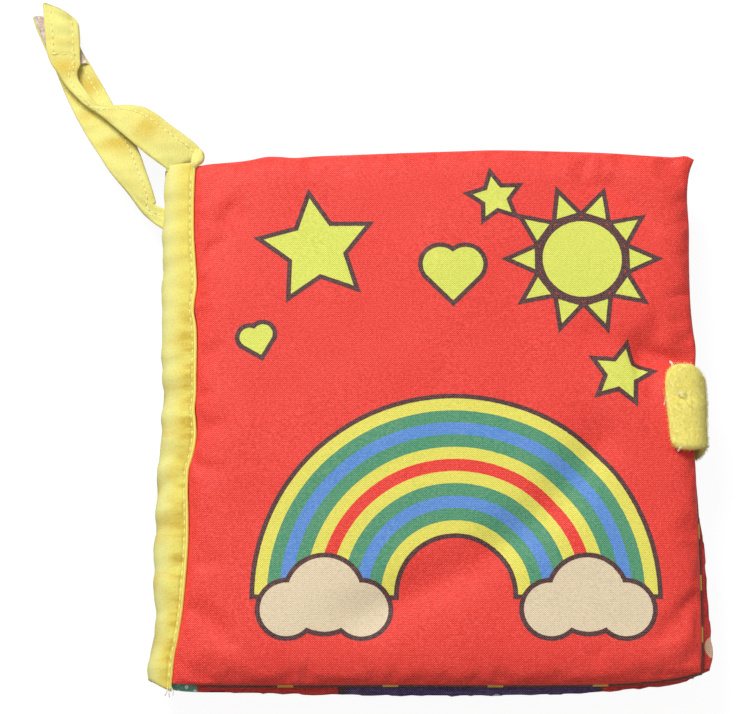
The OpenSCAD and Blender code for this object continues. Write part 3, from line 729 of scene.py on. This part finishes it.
def tape_finish(name, shade, shade_spots=(), spread=0.7, wraps=None):
    """Woven yellow tape with painted ochre shade in its hollows, in random patches, and at each fold given as a middle,
    radius and depth on it. Where it wraps an edge over that many millimetres, its lips carry a painted highlight and it
    is gathered by them, with painted ochre shade in streaks along its puckers and in a thin line behind each hem."""
    dye = Dye(name)
    place = dye.node("ShaderNodeUVMap", {"uv_map": "cloth"}, {})
    height, thread = weave(dye, place, 0.58, 0.95)
    x, y, _ = dye.split(place)
    # Painted ochre shade in random patches over the tape, as in the hollows of its puckers, and at each given spot.
    ochre_shade = (dye.noise(place, 130, 2.0, (0.45, 1, 1)) - 0.5) * 4 * spread + 0.4 * spread
    for middle, wide, deep in shade_spots:
        ochre_shade = ochre_shade + (disc(x * 0.7, y, (middle[0] * 0.7, middle[1]), 0) / wide).bell() * deep
    if wraps:
        from_lip = x.math("MINIMUM", wraps - x)
        near = ((from_lip - 2.9) / 2.4).bell()
        # Painted ochre shade in streaks along the puckers that the lip stitching gathers, and a little more near the
        # stitches; weaker towards the head.
        pucker_shade = (dye.noise(place, 340, 2.0, (0.2, 1, 1)) - 0.47) * 4.5
        towards_head = ((50 - y) / 30).within(0.3, 1.0)
        ochre_shade = (ochre_shade * 0.75 + pucker_shade.math("MAXIMUM", -0.2) * near + near * 0.14) * towards_head
        shade = dye.mix(((from_lip - 4.5) / 4).within(0.0, 1.0), srgb(242, 228, 108), shade)
        # Painted shade: a thin ochre line in the groove behind the hem, and none on the hem itself.
        ochre_shade = ochre_shade * (from_lip > 1.05) + (abs(from_lip - 1.15) < 0.16) * 0.55
        # Painted highlight: the hem along each lip is given a brighter yellow.
        shade = dye.mix(from_lip < 1.0, shade, srgb(255, 243, 118))
    # The painted ochre shade is mixed into the tape's own colour here.
    colour = dye.mix(ochre_shade.within(0.0, 1.0), shade, srgb(217, 184, 56))
    # Painted highlight on the crowns of the weave and painted shade in its hollows, along with random thread tone.
    colour = dye.mix(((thread - 0.42) * 0.5 + (height - 0.5) * 0.4).math("MAXIMUM", 0.0), colour, srgb(252, 248, 190))
    colour = dye.mix(((0.5 - height) * 0.35 + (0.45 - thread) * 0.5).math("MAXIMUM", 0.0), colour, srgb(176, 140, 44))
    return dye.finish(cloth_shader(dye, colour, height + thread * 0.3, 0.8, 0.45, 0.1, (1, 1, 0.8, 1), 0.2))


tape_cloth = tape_finish("binding_tape", srgb(241, 236, 148), wraps=TAPE_WRAP)
points, faces, flat = build_tape()
binding = mesh_object("spine_tape", points, faces, flat, tape_cloth)
hang(binding, "book_block", "tape", "spine_binding")

# Stitching: yellow polyester thread, one bead of thread for each stitch, laid along a seam line. The running stitch
# along both lips holds the tape to the block.
class Sewing(Nodes):
    """A Geometry Nodes tree: named sizes go in, one plain mesh comes out."""

    def __init__(self, name, sizes):
        self.tree = bpy.data.node_groups.new(name, "GeometryNodeTree")
        self.tree.interface.new_socket("Base", in_out="INPUT", socket_type="NodeSocketGeometry")
        for size, kind in sizes.items():
            self.tree.interface.new_socket(size, in_out="INPUT", socket_type="NodeSocket" + kind)
        self.tree.interface.new_socket("Sewn", in_out="OUTPUT", socket_type="NodeSocketGeometry")
        entry = self.tree.nodes.new("NodeGroupInput")
        self.sizes = {outlet.name: Tone(self, outlet) for outlet in entry.outputs if outlet.name}

    def finish(self, instances):
        real = self.node("GeometryNodeRealizeInstances", {}, {0: instances})
        soft = self.node("GeometryNodeSetShadeSmooth", {}, {0: real})
        done = self.node("GeometryNodeSetMaterial", {}, {"Geometry": soft, "Material": self.sizes["Material"]})
        self.node("NodeGroupOutput", {}, {0: done})

    def sew(self, name, base, **sizes):
        """A plain mesh at the origin, made by the tree on the mesh base."""
        holder = bpy.data.objects.new(name + "_base", base)
        scene.collection.objects.link(holder)
        modifier = holder.modifiers.new("sewing", "NODES")
        modifier.node_group = self.tree
        for socket in self.tree.interface.items_tree:
            if socket.name in sizes:
                modifier[socket.identifier] = sizes[socket.name]
        bpy.context.view_layer.update()
        graph = bpy.context.evaluated_depsgraph_get()
        mesh = bpy.data.meshes.new_from_object(holder.evaluated_get(graph), depsgraph=graph)
        bpy.data.objects.remove(holder)
        made = bpy.data.objects.new(name, mesh)
        scene.collection.objects.link(made)
        return made


running_stitch = Sewing("running_stitch", {"Pitch": "Float", "Length": "Float", "Width": "Float", "Material": "Material"})
sizes = running_stitch.sizes
seam_curve = running_stitch.node("GeometryNodeMeshToCurve", {}, {0: sizes["Base"]})
holes = running_stitch.node("GeometryNodeResampleCurve", {"mode": "LENGTH"}, {"Curve": seam_curve, "Length": sizes["Pitch"]})
along = running_stitch.node("GeometryNodeInputTangent", {}, {})
upward = running_stitch.node("GeometryNodeInputNamedAttribute", {"data_type": "FLOAT_VECTOR"}, {"Name": "up"})
laid = running_stitch.node("FunctionNodeAlignRotationToVector", {"axis": "X"}, {"Vector": along})
laid = running_stitch.node("FunctionNodeAlignRotationToVector", {"axis": "Z", "pivot_axis": "X"},
    {"Rotation": laid, "Vector": upward})
bead = running_stitch.node("GeometryNodeMeshUVSphere", {}, {"Segments": 6, "Rings": 5, "Radius": 0.5})
shape = running_stitch.node("ShaderNodeCombineXYZ", {}, {0: sizes["Length"], 1: sizes["Width"], 2: sizes["Width"]})
bead = running_stitch.node("GeometryNodeTransform", {}, {"Geometry": bead, "Scale": shape})
running_stitch.finish(running_stitch.node("GeometryNodeInstanceOnPoints", {},
    {"Points": holes, "Instance": bead, "Rotation": laid}))


def seam_mesh(lines):
    """Loose edges along lines of (points, ups) in millimetres, for the running stitch."""
    mesh = bpy.data.meshes.new("seam")
    points, ups, edges = [], [], []
    for places, normals in lines:
        edges += [(len(points) + i, len(points) + i + 1) for i in range(len(places) - 1)]
        points += [tuple(np.asarray(p) * MM) for p in places]
        ups += [tuple(n) for n in normals]
    mesh.from_pydata(points, edges, [])
    mesh.attributes.new("up", "FLOAT_VECTOR", "POINT").data.foreach_set("vector", np.array(ups).ravel())
    return mesh


def thread_finish(name, colour, pale):
    dye = Dye(name)
    place = dye.node("ShaderNodeTexCoord", {}, {}, 3)
    ply = dye.noise(place, 3200, 1.0)
    shade = dye.mix((ply - 0.35) * 1.6, colour, pale)
    return dye.finish(cloth_shader(dye, shade, ply, 0.6, 0.3, 0.1, (1, 1, 0.8, 1), 0.3))


def seam_holes(lines, distance):
    """The same lines, started that far along and a little deeper, where darker beads between the stitches are painted
    shade in the needle holes.
    """
    cut = []
    for places, normals in lines:
        places, normals = np.asarray(places, float), np.asarray(normals, float)
        run = run_along(places)
        keep = run > distance
        start = [np.interp(distance, run, places[:, k]) for k in range(3)]
        cut.append((np.vstack([start, places[keep]]) - 0.06 * np.vstack([normals[keep][:1], normals[keep]]),
            np.vstack([normals[keep][:1], normals[keep]])))
    return cut


yellow_thread = thread_finish("yellow_thread", srgb(251, 244, 158), srgb(255, 255, 214))
# Painted shade: darker beads, sunk a little into the cloth between the stitches, stand for the shade in the needle
# holes.
hole_shade = thread_finish("needle_hole_shade", srgb(188, 158, 66), srgb(212, 184, 92))
LIP_STITCH = 6
ring = len(TAPE_ANGLES) * 2 + 1
lip_lines = []
for place, up in ((LIP_STITCH, 1), (ring - 1 - LIP_STITCH, -1)):
    line = points[place::2 * ring][6:-5] + [0, 0, 0.08 * up]
    lip_lines.append((line, [(0, 0, up)] * len(line)))
lip_stitches = running_stitch.sew("lip_stitches", seam_mesh(lip_lines), Pitch=2.3 * MM, Length=1.5 * MM, Width=0.42 * MM,
    Material=yellow_thread)
lip_holes = running_stitch.sew("lip_needle_hole_shade", seam_mesh(seam_holes(lip_lines, 1.15)), Pitch=2.3 * MM,
    Length=0.75 * MM, Width=0.36 * MM, Material=hole_shade)
hang(lip_holes, "book_block", "thread")
hang(lip_stitches, "book_block", "thread", "spine_stitches")

# Carrying strap: two arms of doubled tape with a seam along one edge. The upper arm leaves the head of the spine,
# humps and stands on its edge over the lower one, which comes from behind the spine and runs under it to the end.
STRAP_THICK = 0.7
UPPER = [(-73.9, 72.4, 11.4, -63.7, 75.9, 11.8, 0), (-74.2, 73.2, 11.9, -63.5, 77.6, 12.3, 0.2),
    (-76.1, 74.6, 12, -65.5, 80.2, 12.4, 0.3), (-79.1, 77, 11.6, -69.1, 83.2, 12.4, 0.5),
    (-82.3, 79.9, 11, -73.6, 86.8, 11.8, 0.6), (-84.8, 82.4, 10.2, -77.1, 90, 10.8, 0.6),
    (-87.6, 85.1, 9.3, -80.8, 92.5, 9.6, 0.6), (-90.4, 87.8, 8.4, -85.1, 93.7, 8.6, 0.5),
    (-93.3, 90.5, 7.6, -89.4, 93.9, 7.8, 0.4), (-95.6, 92.3, 7, -92.7, 94.2, 7.4, 0.3),
    (-97.5, 93.7, 6.5, -95, 94.9, 7, 0.3), (-99.6, 95.5, 6, -96.9, 97.2, 6.5, 0.3),
    (-101.7, 97.7, 5.5, -98.6, 99.5, 6, 0.3), (-104.1, 100.6, 4.9, -100.1, 101.7, 5.4, 0.3),
    (-106.2, 103.7, 4.5, -101.1, 103.9, 4.9, 0.3), (-107.9, 106.4, 4.2, -101.1, 106.1, 4.4, 0.3),
    (-109.1, 108.3, 3.9, -100.5, 107.9, 4.1, 0.2), (-109.9, 110, 3.7, -100.7, 109.9, 3.8, 0.1),
    (-110.7, 112.6, 3.6, -100.8, 112.3, 3.8, 0), (-111.3, 117.7, 3.6, -101, 116.5, 3.7, 0),
    (-111.9, 122.8, 3.6, -101.3, 119.4, 3.7, 0), (-112.3, 127.2, 3.6, -101.4, 120.4, 3.7, 0)]
LOWER = [(-74.7, 55.8, 9, -74.3, 62.1, 9, 0), (-77.7, 57.9, 9, -75.6, 62.4, 9.2, 0.2),
    (-80.9, 60.9, 8.8, -77.2, 63.2, 9.2, 0.5), (-84.7, 66.2, 8.6, -76.9, 64, 9.2, 0.9),
    (-88.6, 71, 8.4, -78.2, 68.4, 9, 1), (-91.2, 74.5, 8, -80.1, 73.8, 8.6, 0.8),
    (-93.6, 78.5, 7.3, -82, 79.2, 8, 0.2), (-96.2, 82.6, 6.3, -84.4, 84.4, 7, 0),
    (-98.8, 87.1, 5.3, -87.8, 90.5, 5.9, -0.1), (-101.3, 91.8, 4.2, -91.2, 96.6, 4.6, -0.3),
    (-103.9, 97.2, 3, -93.7, 101.4, 3.4, -0.4), (-106.2, 102.5, 1.9, -96, 105.4, 2.6, -0.3),
    (-108.3, 107.8, 1.3, -98, 109.1, 1.8, 0), (-110, 111.8, 1, -99.5, 111.5, 1.2, 0),
    (-111.5, 114.3, 0.8, -100.9, 114.2, 0.9, 0), (-113.5, 118.7, 0.8, -102.6, 118.4, 0.8, 0),
    (-114.7, 121.6, 0.8, -103.9, 121.6, 0.8, 0), (-115.5, 124.1, 0.8, -104.9, 124.4, 0.8, 0)]


def ribbon_frames(rows, count):
    """Middle, way across, face and half width at even places along a ribbon between its two edge lines."""
    line = smooth_line(rows, count)
    left, right, cup = line[:, :3], line[:, 3:6], line[:, 6]
    half = np.linalg.norm(right - left, axis=1) / 2
    across = (right - left) / (2 * half[:, None])
    run = np.gradient((left + right) / 2, axis=0)
    face = np.cross(across, run)
    face /= np.linalg.norm(face, axis=1)[:, None]
    return (left + right) / 2, across, face, half, cup


def on_ribbon(frames, j, a, lift, seed):
    """The place on row j at a, from -1 on the left edge to 1 on the right one, at lift above the middle surface."""
    middle, across, face, half, cup = frames
    inside = half[j] * (1 - abs(a))
    crease = 0.3 * noise.noise(Vector((a * 1.5, j / 9, seed))) * min(1, inside / 0.8)
    return middle[j] + across[j] * a * half[j] + face[j] * (cup[j] * (1 - a * a) + lift + crease)


LATERAL = [-1, -0.985, -0.95, -0.9, -0.83, -0.74, -0.62, -0.5, -0.35, -0.18, 0, 0.18, 0.35, 0.5, 0.62, 0.74, 0.83, 0.9,
    0.95, 0.985, 1]


def ribbon(name, rows, thick, material, seam=0.0, lift=0.0, inset=0.0, end=0.0, count=170, relief=None):
    """A doubled ribbon with soft edges, a groove along its seam and its flat place as UV. Its far end is rounded out
    by end, and relief(j, a) raises its upper side."""
    frames = ribbon_frames(rows, count)
    middle, half = frames[0], frames[3]
    run = run_along(middle)
    forward = middle[-1] - middle[-2]
    forward /= np.linalg.norm(forward)
    points, flat = [], []
    for side in (1, -1):
        for j in range(count):
            for a in (LATERAL if side == 1 else LATERAL[-2:0:-1]):
                narrow = (half[j] - inset) / half[j]
                inside = (half[j] - inset) * (1 - abs(a))
                round_off = math.sqrt(max(0, 1 - (1 - min(1, inside / 0.5)) ** 2))
                hem = 1 + 0.3 * math.exp(-(((inside - 0.7) / 0.5) ** 2)) * (seam > 0)
                groove = 0.2 * math.exp(-(((half[j] * (1 - a) - SEAM_INSET) / 0.35) ** 2)) * seam
                raised = relief(j, a) if relief and side == 1 else 0
                place = on_ribbon(frames, j, a * narrow, lift + side * (thick / 2 * round_off * hem - groove) + raised, seam)
                points.append(place + forward * end * (1 - a**8) * (1 + 0.4 * min(a, 0)) * max(0, 1 - (run[-1] - run[j]) / 6))
                flat.append((a * half[j] + (20 if side < 0 else 0), run[j]))
    top, low = len(LATERAL), len(LATERAL) - 2
    base = count * top
    rings = [[j * top + i for i in range(top)] + [base + j * low + i for i in range(low)] for j in range(count)]
    n = top + low
    faces = sleeve(rings)
    for ring, flip in ((rings[0], True), (rings[-1], False)):
        for i in range(top - 1):
            quad = list(dict.fromkeys([ring[i], ring[i + 1], ring[(n - i - 1) % n], ring[(n - i) % n]]))
            faces.append(tuple(quad) if flip else tuple(reversed(quad)))
    return mesh_object(name, points, faces, flat, material)


def end_pillow(j, a):
    """The loop patch pads the stitched rectangle at the end of the upper arm."""
    along, over = (j - 137) / 32, (a - 0.05) / 0.55
    if along <= 0 or abs(over) >= 1:
        return 0
    return 0.55 * (1 - over**4) * min(1, along / 0.12) * (0.75 + 0.25 * math.cos(along * 19))


def middle_line(rows):
    return [[(a + b) / 2 for a, b in zip(row[:3], row[3:6])] for row in rows]


SEAM_INSET = 2.4
# Spots of painted ochre shade on each arm's flat place, as middle, radius and depth: in its folds and where one arm
# shades the other.
UPPER_FOLD_SHADE = [((0.8, 16.6), 3.2, 0.8), ((-0.2, 51.4), 3, 0.75)]
LOWER_FOLD_SHADE = [((1.2, 28), 3, 0.75), ((-2.5, 41.3), 2.6, 0.6), ((1.5, 51), 3.4, 0.7), ((-1, 57), 2.5, 0.6)]
seams = []
for name, rows, seam, end, node, shade_spots, relief in (
        ("strap_arm_upper", UPPER, 1.0, 1.7, "strap_upper", UPPER_FOLD_SHADE, end_pillow),
        ("strap_arm_lower", LOWER, 0.9, 0, "strap_lower", LOWER_FOLD_SHADE, None)):
    strap_cloth = tape_finish(node + "_tape", srgb(240, 233, 134), shade_spots, 0.3)
    arm = ribbon(name, rows, STRAP_THICK, strap_cloth, seam, end=end, relief=relief)
    hang(arm, "book_block", "tape", node)
    middles = middle_line(rows)
    frames = ribbon_frames(rows, 170)
    stretch = range(8, 140) if node == "strap_upper" else range(4, 168)
    seams.append(([on_ribbon(frames, j, 1 - SEAM_INSET / frames[3][j], 0.26, seam) for j in stretch],
        [frames[2][j] for j in stretch]))

# Stitches of the strap: one seam along each arm, and a rectangle that holds the loop patch under the upper end.
frames = ribbon_frames(UPPER, 170)
box_lines = [[(j, -0.56) for j in range(137, 169)], [(j, 0.6) for j in range(120, 167)],
    [(137, a) for a in np.linspace(-0.56, 0.6, 12)]]
for line in box_lines:
    seams.append(([on_ribbon(frames, j, a, 0.42, 1.0) for j, a in line], [frames[2][j] for j, _ in line]))
strap_stitches = running_stitch.sew("strap_seam_stitches", seam_mesh(seams), Pitch=1.9 * MM, Length=1.5 * MM,
    Width=0.34 * MM, Material=yellow_thread)
strap_holes = running_stitch.sew("strap_needle_hole_shade", seam_mesh(seam_holes(seams, 0.95)), Pitch=1.9 * MM,
    Length=0.5 * MM, Width=0.3 * MM, Material=hole_shade)
hang(strap_holes, "book_block", "thread")
hang(strap_stitches, "book_block", "thread", "strap_stitches")

# Pile: every fibre or hook is one short bent tube. It stands on a fabric face, leaning a little at random.
pile = Sewing("pile", {"Density": "Float", "Length": "Float", "Thickness": "Float", "Bend": "Float", "Lean": "Float",
    "Steps": "Int", "Seed": "Int", "Material": "Material"})
sizes = pile.sizes
roots = pile.node("GeometryNodeDistributePointsOnFaces", {}, {"Mesh": sizes["Base"], "Density": sizes["Density"],
    "Seed": sizes["Seed"]})
upright = Tone(pile, roots.socket.node.outputs["Rotation"])
lean = pile.node("ShaderNodeCombineXYZ", {}, {0: sizes["Lean"], 1: sizes["Lean"], 2: 3.1})
unlean = pile.node("ShaderNodeVectorMath", {"operation": "SCALE"}, {0: lean, "Scale": -1.0})
tilt = pile.node("FunctionNodeRandomValue", {"data_type": "FLOAT_VECTOR"}, {0: unlean, 1: lean, "Seed": sizes["Seed"]})
tilt = pile.node("FunctionNodeEulerToRotation", {}, {0: tilt})
turned_root = pile.node("FunctionNodeRotateRotation", {"rotation_space": "LOCAL"}, {0: upright, 1: tilt})
knee = pile.node("ShaderNodeCombineXYZ", {}, {2: sizes["Length"]})
tip = pile.node("ShaderNodeCombineXYZ", {}, {0: sizes["Bend"], 2: sizes["Length"] - abs(sizes["Bend"]) * 0.6})
fibre = pile.node("GeometryNodeCurveQuadraticBezier", {}, {"Resolution": sizes["Steps"], "Start": (0, 0, 0),
    "Middle": knee, "End": tip})
ring_line = pile.node("GeometryNodeCurvePrimitiveCircle", {}, {"Resolution": 3, "Radius": sizes["Thickness"]})
fibre = pile.node("GeometryNodeCurveToMesh", {}, {"Curve": fibre, "Profile Curve": ring_line, "Fill Caps": True})
grown = pile.node("FunctionNodeRandomValue", {"data_type": "FLOAT"}, {2: 0.55, 3: 1.15, "Seed": 4})
grown = Tone(pile, grown.socket.node.outputs[1])
pile.finish(pile.node("GeometryNodeInstanceOnPoints", {}, {"Points": roots, "Instance": fibre, "Rotation": turned_root,
    "Scale": grown}))


def faces_towards(piece, axis):
    """A copy of a piece's mesh with only the faces that look along that axis, to grow pile on."""
    mesh = piece.data
    chosen = [face for face in mesh.polygons if face.normal[axis] > 0.6]
    skin = bpy.data.meshes.new("skin")
    skin.from_pydata([v.co.copy() for v in mesh.vertices], [], [tuple(face.vertices) for face in chosen])
    return skin


def pile_finish(name, deep, pale, scale=700):
    """Brushed nylon: soft clumps, paler where the fibres stand up."""
    dye = Dye(name)
    place = dye.node("ShaderNodeTexCoord", {}, {}, 3)
    clumps = dye.noise(place, scale, 3.0)
    fine = dye.noise(place, 4200, 1.0)
    colour = dye.mix((clumps * 0.7 + fine * 0.3 - 0.3) * 2.2, deep, pale)
    bump = dye.node("ShaderNodeBump", {}, {"Strength": 0.5, "Distance": 0.0003, "Height": clumps + fine * 0.5})
    return dye.finish(dye.node("ShaderNodeBsdfPrincipled", {}, {"Base Color": colour, "Roughness": 0.95, "Normal": bump,
        "Sheen Weight": 0.35, "Sheen Roughness": 0.6, "Sheen Tint": (1, 1, 0.75, 1), "Specular IOR Level": 0.1}))


# Strap fastening: a hook patch in pinkish white nylon on the lower end and a plush loop patch under the upper end.
hook_pile = pile_finish("hook_nylon", srgb(226, 196, 184), srgb(250, 238, 230))
plush = pile_finish("brushed_nylon", srgb(248, 226, 82), srgb(255, 252, 168), 1500)
hook_patch = ribbon("strap_hooks", LOWER[-6:], 0.7, hook_pile, lift=0.9, inset=0.6, count=60)
loop_patch = ribbon("strap_loops", UPPER[-5:], 0.6, plush, lift=-0.85, inset=0.9, count=60)
for patch, rows, node, slot in ((hook_patch, LOWER[-6:], "strap_hook_patch", "hook_pile"),
        (loop_patch, UPPER[-5:], "strap_loop_patch", "plush")):
    hang(patch, "book_block", slot, node)
    middles = middle_line(rows)
strap_hooks = pile.sew("strap_hook_pile", faces_towards(hook_patch, 2), Density=6.5e6,
    Length=0.55 * MM, Thickness=0.07 * MM, Bend=0.3 * MM, Lean=0.3, Steps=4, Seed=3, Material=hook_pile)
hang(strap_hooks, "book_block", "hook_pile")


def tube(points, radius, sides=6):
    """Points and faces of a closed thread through points."""
    line = smooth_line(points, max(8, 4 * len(points)))
    run = np.gradient(line, axis=0)
    run /= np.linalg.norm(run, axis=1)[:, None]
    side = np.cross(run, (0.31, 0.17, 0.93))
    side /= np.linalg.norm(side, axis=1)[:, None]
    up = np.cross(side, run)
    turn = np.linspace(0, math.tau, sides, endpoint=False)
    rings = [c + radius * (np.cos(turn)[:, None] * s + np.sin(turn)[:, None] * u) for c, s, u in zip(line, side, up)]
    faces = sleeve(np.arange(len(rings) * sides).reshape(-1, sides).tolist())
    last = (len(rings) - 1) * sides
    faces += [tuple(range(sides - 1, -1, -1)), tuple(last + i for i in range(sides))]
    return np.vstack(rings), faces


def threads(name, strands, radius, material, body, slot):
    """Loose thread ends as one piece."""
    points, faces = [], []
    for strand in strands:
        more, sides = tube(strand, radius)
        faces += [tuple(i + sum(map(len, points)) for i in face) for face in sides]
        points.append(more)
    points = np.vstack(points)
    made = mesh_object(name, points, faces, points, material)
    hang(made, body, slot)


# Head of the spine: the cut end of the strap is folded over the tape's corner into a small bunch, and threads fray
# out of the tape's slanted lower end.
TUCK = [(-66.5, 72, 14.9, -65.2, 71.9, 15.1, 0), (-66.7, 73.1, 15.1, -64.2, 72.8, 15.3, 0.3),
    (-66.7, 74.3, 14.9, -63.3, 73.7, 15, 0.5), (-66.6, 75.6, 14.3, -62.9, 75, 14.4, 0.6),
    (-66.2, 77, 13.4, -63.1, 76.9, 13.5, 0.5), (-65.7, 78.3, 12.6, -64.1, 78.5, 12.8, 0.2)]
tuck = ribbon("spine_head_tuck", TUCK, 0.9, strap_cloth, seam=0.5, count=40)
hang(tuck, "book_block", "tape")
pale_thread = thread_finish("pale_thread", srgb(250, 240, 212), srgb(255, 255, 246))
tail_ends = [[(-69.6, -74.4, 15.6), (-69.9, -75.6, 15.5), (-70.4, -76.6, 15)],
    [(-69.1, -74.6, 15.6), (-69.3, -75.9, 15.4), (-69.2, -76.9, 14.8)],
    [(-68.8, -74.3, 15.5), (-68.2, -75.3, 15.3), (-68.3, -76.5, 15)]]
threads("tail_threads", tail_ends, 0.13, pale_thread, "book_block", "thread")

# Closure tab: doubled brushed nylon, sewn to the front cover near its fore edge. It is rounded at its free corners,
# turns over the fore edge and hangs in front of the back cover's hook strip.
TAB_EDGE = [(67.1, -12.1), (66.4, -10.5), (65.9, -6.5), (65.6, -2.6), (65.3, 1.3), (65, 5.3), (65.15, 9.3), (66.1, 13.3),
    (66.7, 14.8)]
TAB_WAY = [(0, 18.9), (2, 19.35), (4.6, 19.4), (6.8, 19), (8.3, 17.9), (9.1, 16.2), (9.3, 13.6), (9.3, 8.6), (9.25, 4),
    (8.9, 1.9)]
TAB_ENDS, TAB_HALF, TAB_LENGTH, TAB_CORNER = (-10.5, 13.6), 1.15, 25.6, 3.4


def tab_surface(u, v, side):
    """A place on the tab at u across the fore edge and v from tail to head, both from 0 to 1, on its outer side where
    side is 1 and on its inner side where it is -1."""
    way = smooth_line(TAB_WAY, 200)
    slope = np.gradient(way, axis=0)
    slope /= np.linalg.norm(slope, axis=1)[:, None]
    pick = u * 199
    y = TAB_ENDS[0] + (TAB_ENDS[1] - TAB_ENDS[0]) * v
    at = [np.interp(pick, np.arange(200), way[:, k]) for k in (0, 1)]
    normal = [np.interp(pick, np.arange(200), values) for values in (-slope[:, 1], slope[:, 0])]
    run = u * TAB_LENGTH
    wide = TAB_ENDS[1] - TAB_ENDS[0]
    middle = (TAB_ENDS[0] + TAB_ENDS[1]) / 2
    corner = TAB_CORNER - np.sqrt(np.maximum(0, TAB_CORNER**2 - np.maximum(TAB_CORNER - run, 0) ** 2))
    turned_over = np.clip((run - 6) / 4, 0, 1) ** 1.3
    narrowed = np.where(y > middle, 2.8, 0.9) * turned_over
    y = middle + (y - middle) * (wide / 2 - corner * 0.8 - narrowed) / (wide / 2)
    left = at_height(TAB_EDGE, y)
    share = np.clip(1 - run / 9, 0, 1)
    x = 66.1 + at[0] + (left - 66.1) * share
    near = np.minimum(np.minimum(run, TAB_LENGTH - run), np.minimum(v, 1 - v) * wide)
    round_off = (1 - (1 - np.clip(near / 1.6, 0, 1)) ** 2.2) ** (1 / 2.2)
    crease = 0.3 * np.exp(-(((y - 4.4) / 1.6) ** 2)) * np.exp(-(((run - 4) / 3) ** 2))
    lump = 0.3 * ripple(np.stack([run, y, 0 * y], -1).reshape(-1, 3), 6, 8).reshape(y.shape) * round_off
    out = TAB_HALF * round_off + lump - crease * round_off if side > 0 else -TAB_HALF * 0.85 * round_off
    return np.stack([x + normal[0] * out, y, at[1] + normal[1] * out], -1)


us = np.concatenate([[0, 0.004, 0.012, 0.025, 0.045], np.linspace(0.07, 0.93, 56), [0.955, 0.975, 0.988, 0.996, 1]])
vs = np.concatenate([[0, 0.004, 0.012, 0.025, 0.045], np.linspace(0.07, 0.93, 46), [0.955, 0.975, 0.988, 0.996, 1]])
u, v = np.meshgrid(us, vs, indexing="ij")
tab = closed_sheet("tab_plush", tab_surface(u, v, 1), tab_surface(u, v, -1), plush)
tab_pile = pile.sew("tab_pile", tab.data.copy(), Density=5.2e6, Length=0.85 * MM, Thickness=0.03 * MM, Bend=0.45 * MM,
    Lean=1.0, Steps=2, Seed=7, Material=plush)
tab_ends = [[(67.7, 12.3, 19.4), (67.2, 13.4, 19.7), (66.7, 14.1, 19.4), (66.5, 14.5, 18.9)],
    [(67.4, 12.1, 19.4), (66.9, 13.2, 19.8), (67, 14.1, 19.5)], [(66.4, 13.8, 19.3), (66.9, 14.1, 19.5), (67.1, 13.6, 19.5)],
    [(69.5, -9.2, 20.3), (68.6, -10.1, 20.2), (67.9, -11, 19.4)],
    [(69.2, -9.4, 20.2), (68.2, -10.3, 20.2), (67.7, -10.9, 19.3)], [(68.9, -9, 20.2), (70, -9.3, 20.5), (70.8, -9.1, 20.2)],
    [(68.1, 4.6, 20.6), (68.9, 4.8, 21.4), (69.7, 4.7, 21.5), (70.4, 5, 20.6)],
    [(68.4, 4.45, 20.6), (69.1, 4.6, 21.5), (69.9, 4.6, 21.2), (70.2, 4.8, 20.6)],
    [(65, 4, 19), (64.8, 2.8, 18.7), (64.3, 1.9, 18.5), (63.4, 1.5, 18.4)]]
threads("tab_thread_ends", tab_ends, 0.16, pale_thread, "front", "thread")
hang(tab, "front", "plush", "closure_tab")
hang(tab_pile, "front", "plush")

# Hook strip: pinkish white nylon hooks on a thin tape, sewn upright to the back cover's fore edge.
(x0, y0, z0), (x1, y1, z1) = [np.array(corner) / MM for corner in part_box("closure_hook_strip")]
z0, z1 = z1 - 3.05, z1 + 0.05
strip_rows = [(x1 - 0.25, y, z0, x1 - 0.25, y, z1, 0) for y in np.linspace(y1, y0, 6)]
hook_strip = ribbon("hook_strip_tape", strip_rows, x1 - x0, hook_pile, count=40)
strip_hooks = pile.sew("hook_strip_pile", faces_towards(hook_strip, 0), Density=6e6,
    Length=0.5 * MM, Thickness=0.06 * MM, Bend=0.28 * MM, Lean=0.3, Steps=4, Seed=5, Material=hook_pile)
hang(hook_strip, "back", "hook_pile", "closure_hook_strip")
hang(strip_hooks, "back", "hook_pile")

# Hinge cloths: each cover's dotted lining runs on past its seam and is caught between the tape and the leaves.
hinge_rows = np.linspace(-71, 72.2, 24)
for name, floor, body, under in (("front_hinge_cloth", 13.78, "front", "leaf_first"),
        ("back_hinge_cloth", 3.97, "back", "back_cover_padded")):
    rows = [(x - 3.6, y, floor + 0.09, x + 6.6, y, floor + 0.09, 0)
        for x, y in zip(at_height(LIP, hinge_rows), hinge_rows)]
    hinge = ribbon(name, rows, 0.16, lining_cloth, count=90)
    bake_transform(hinge)
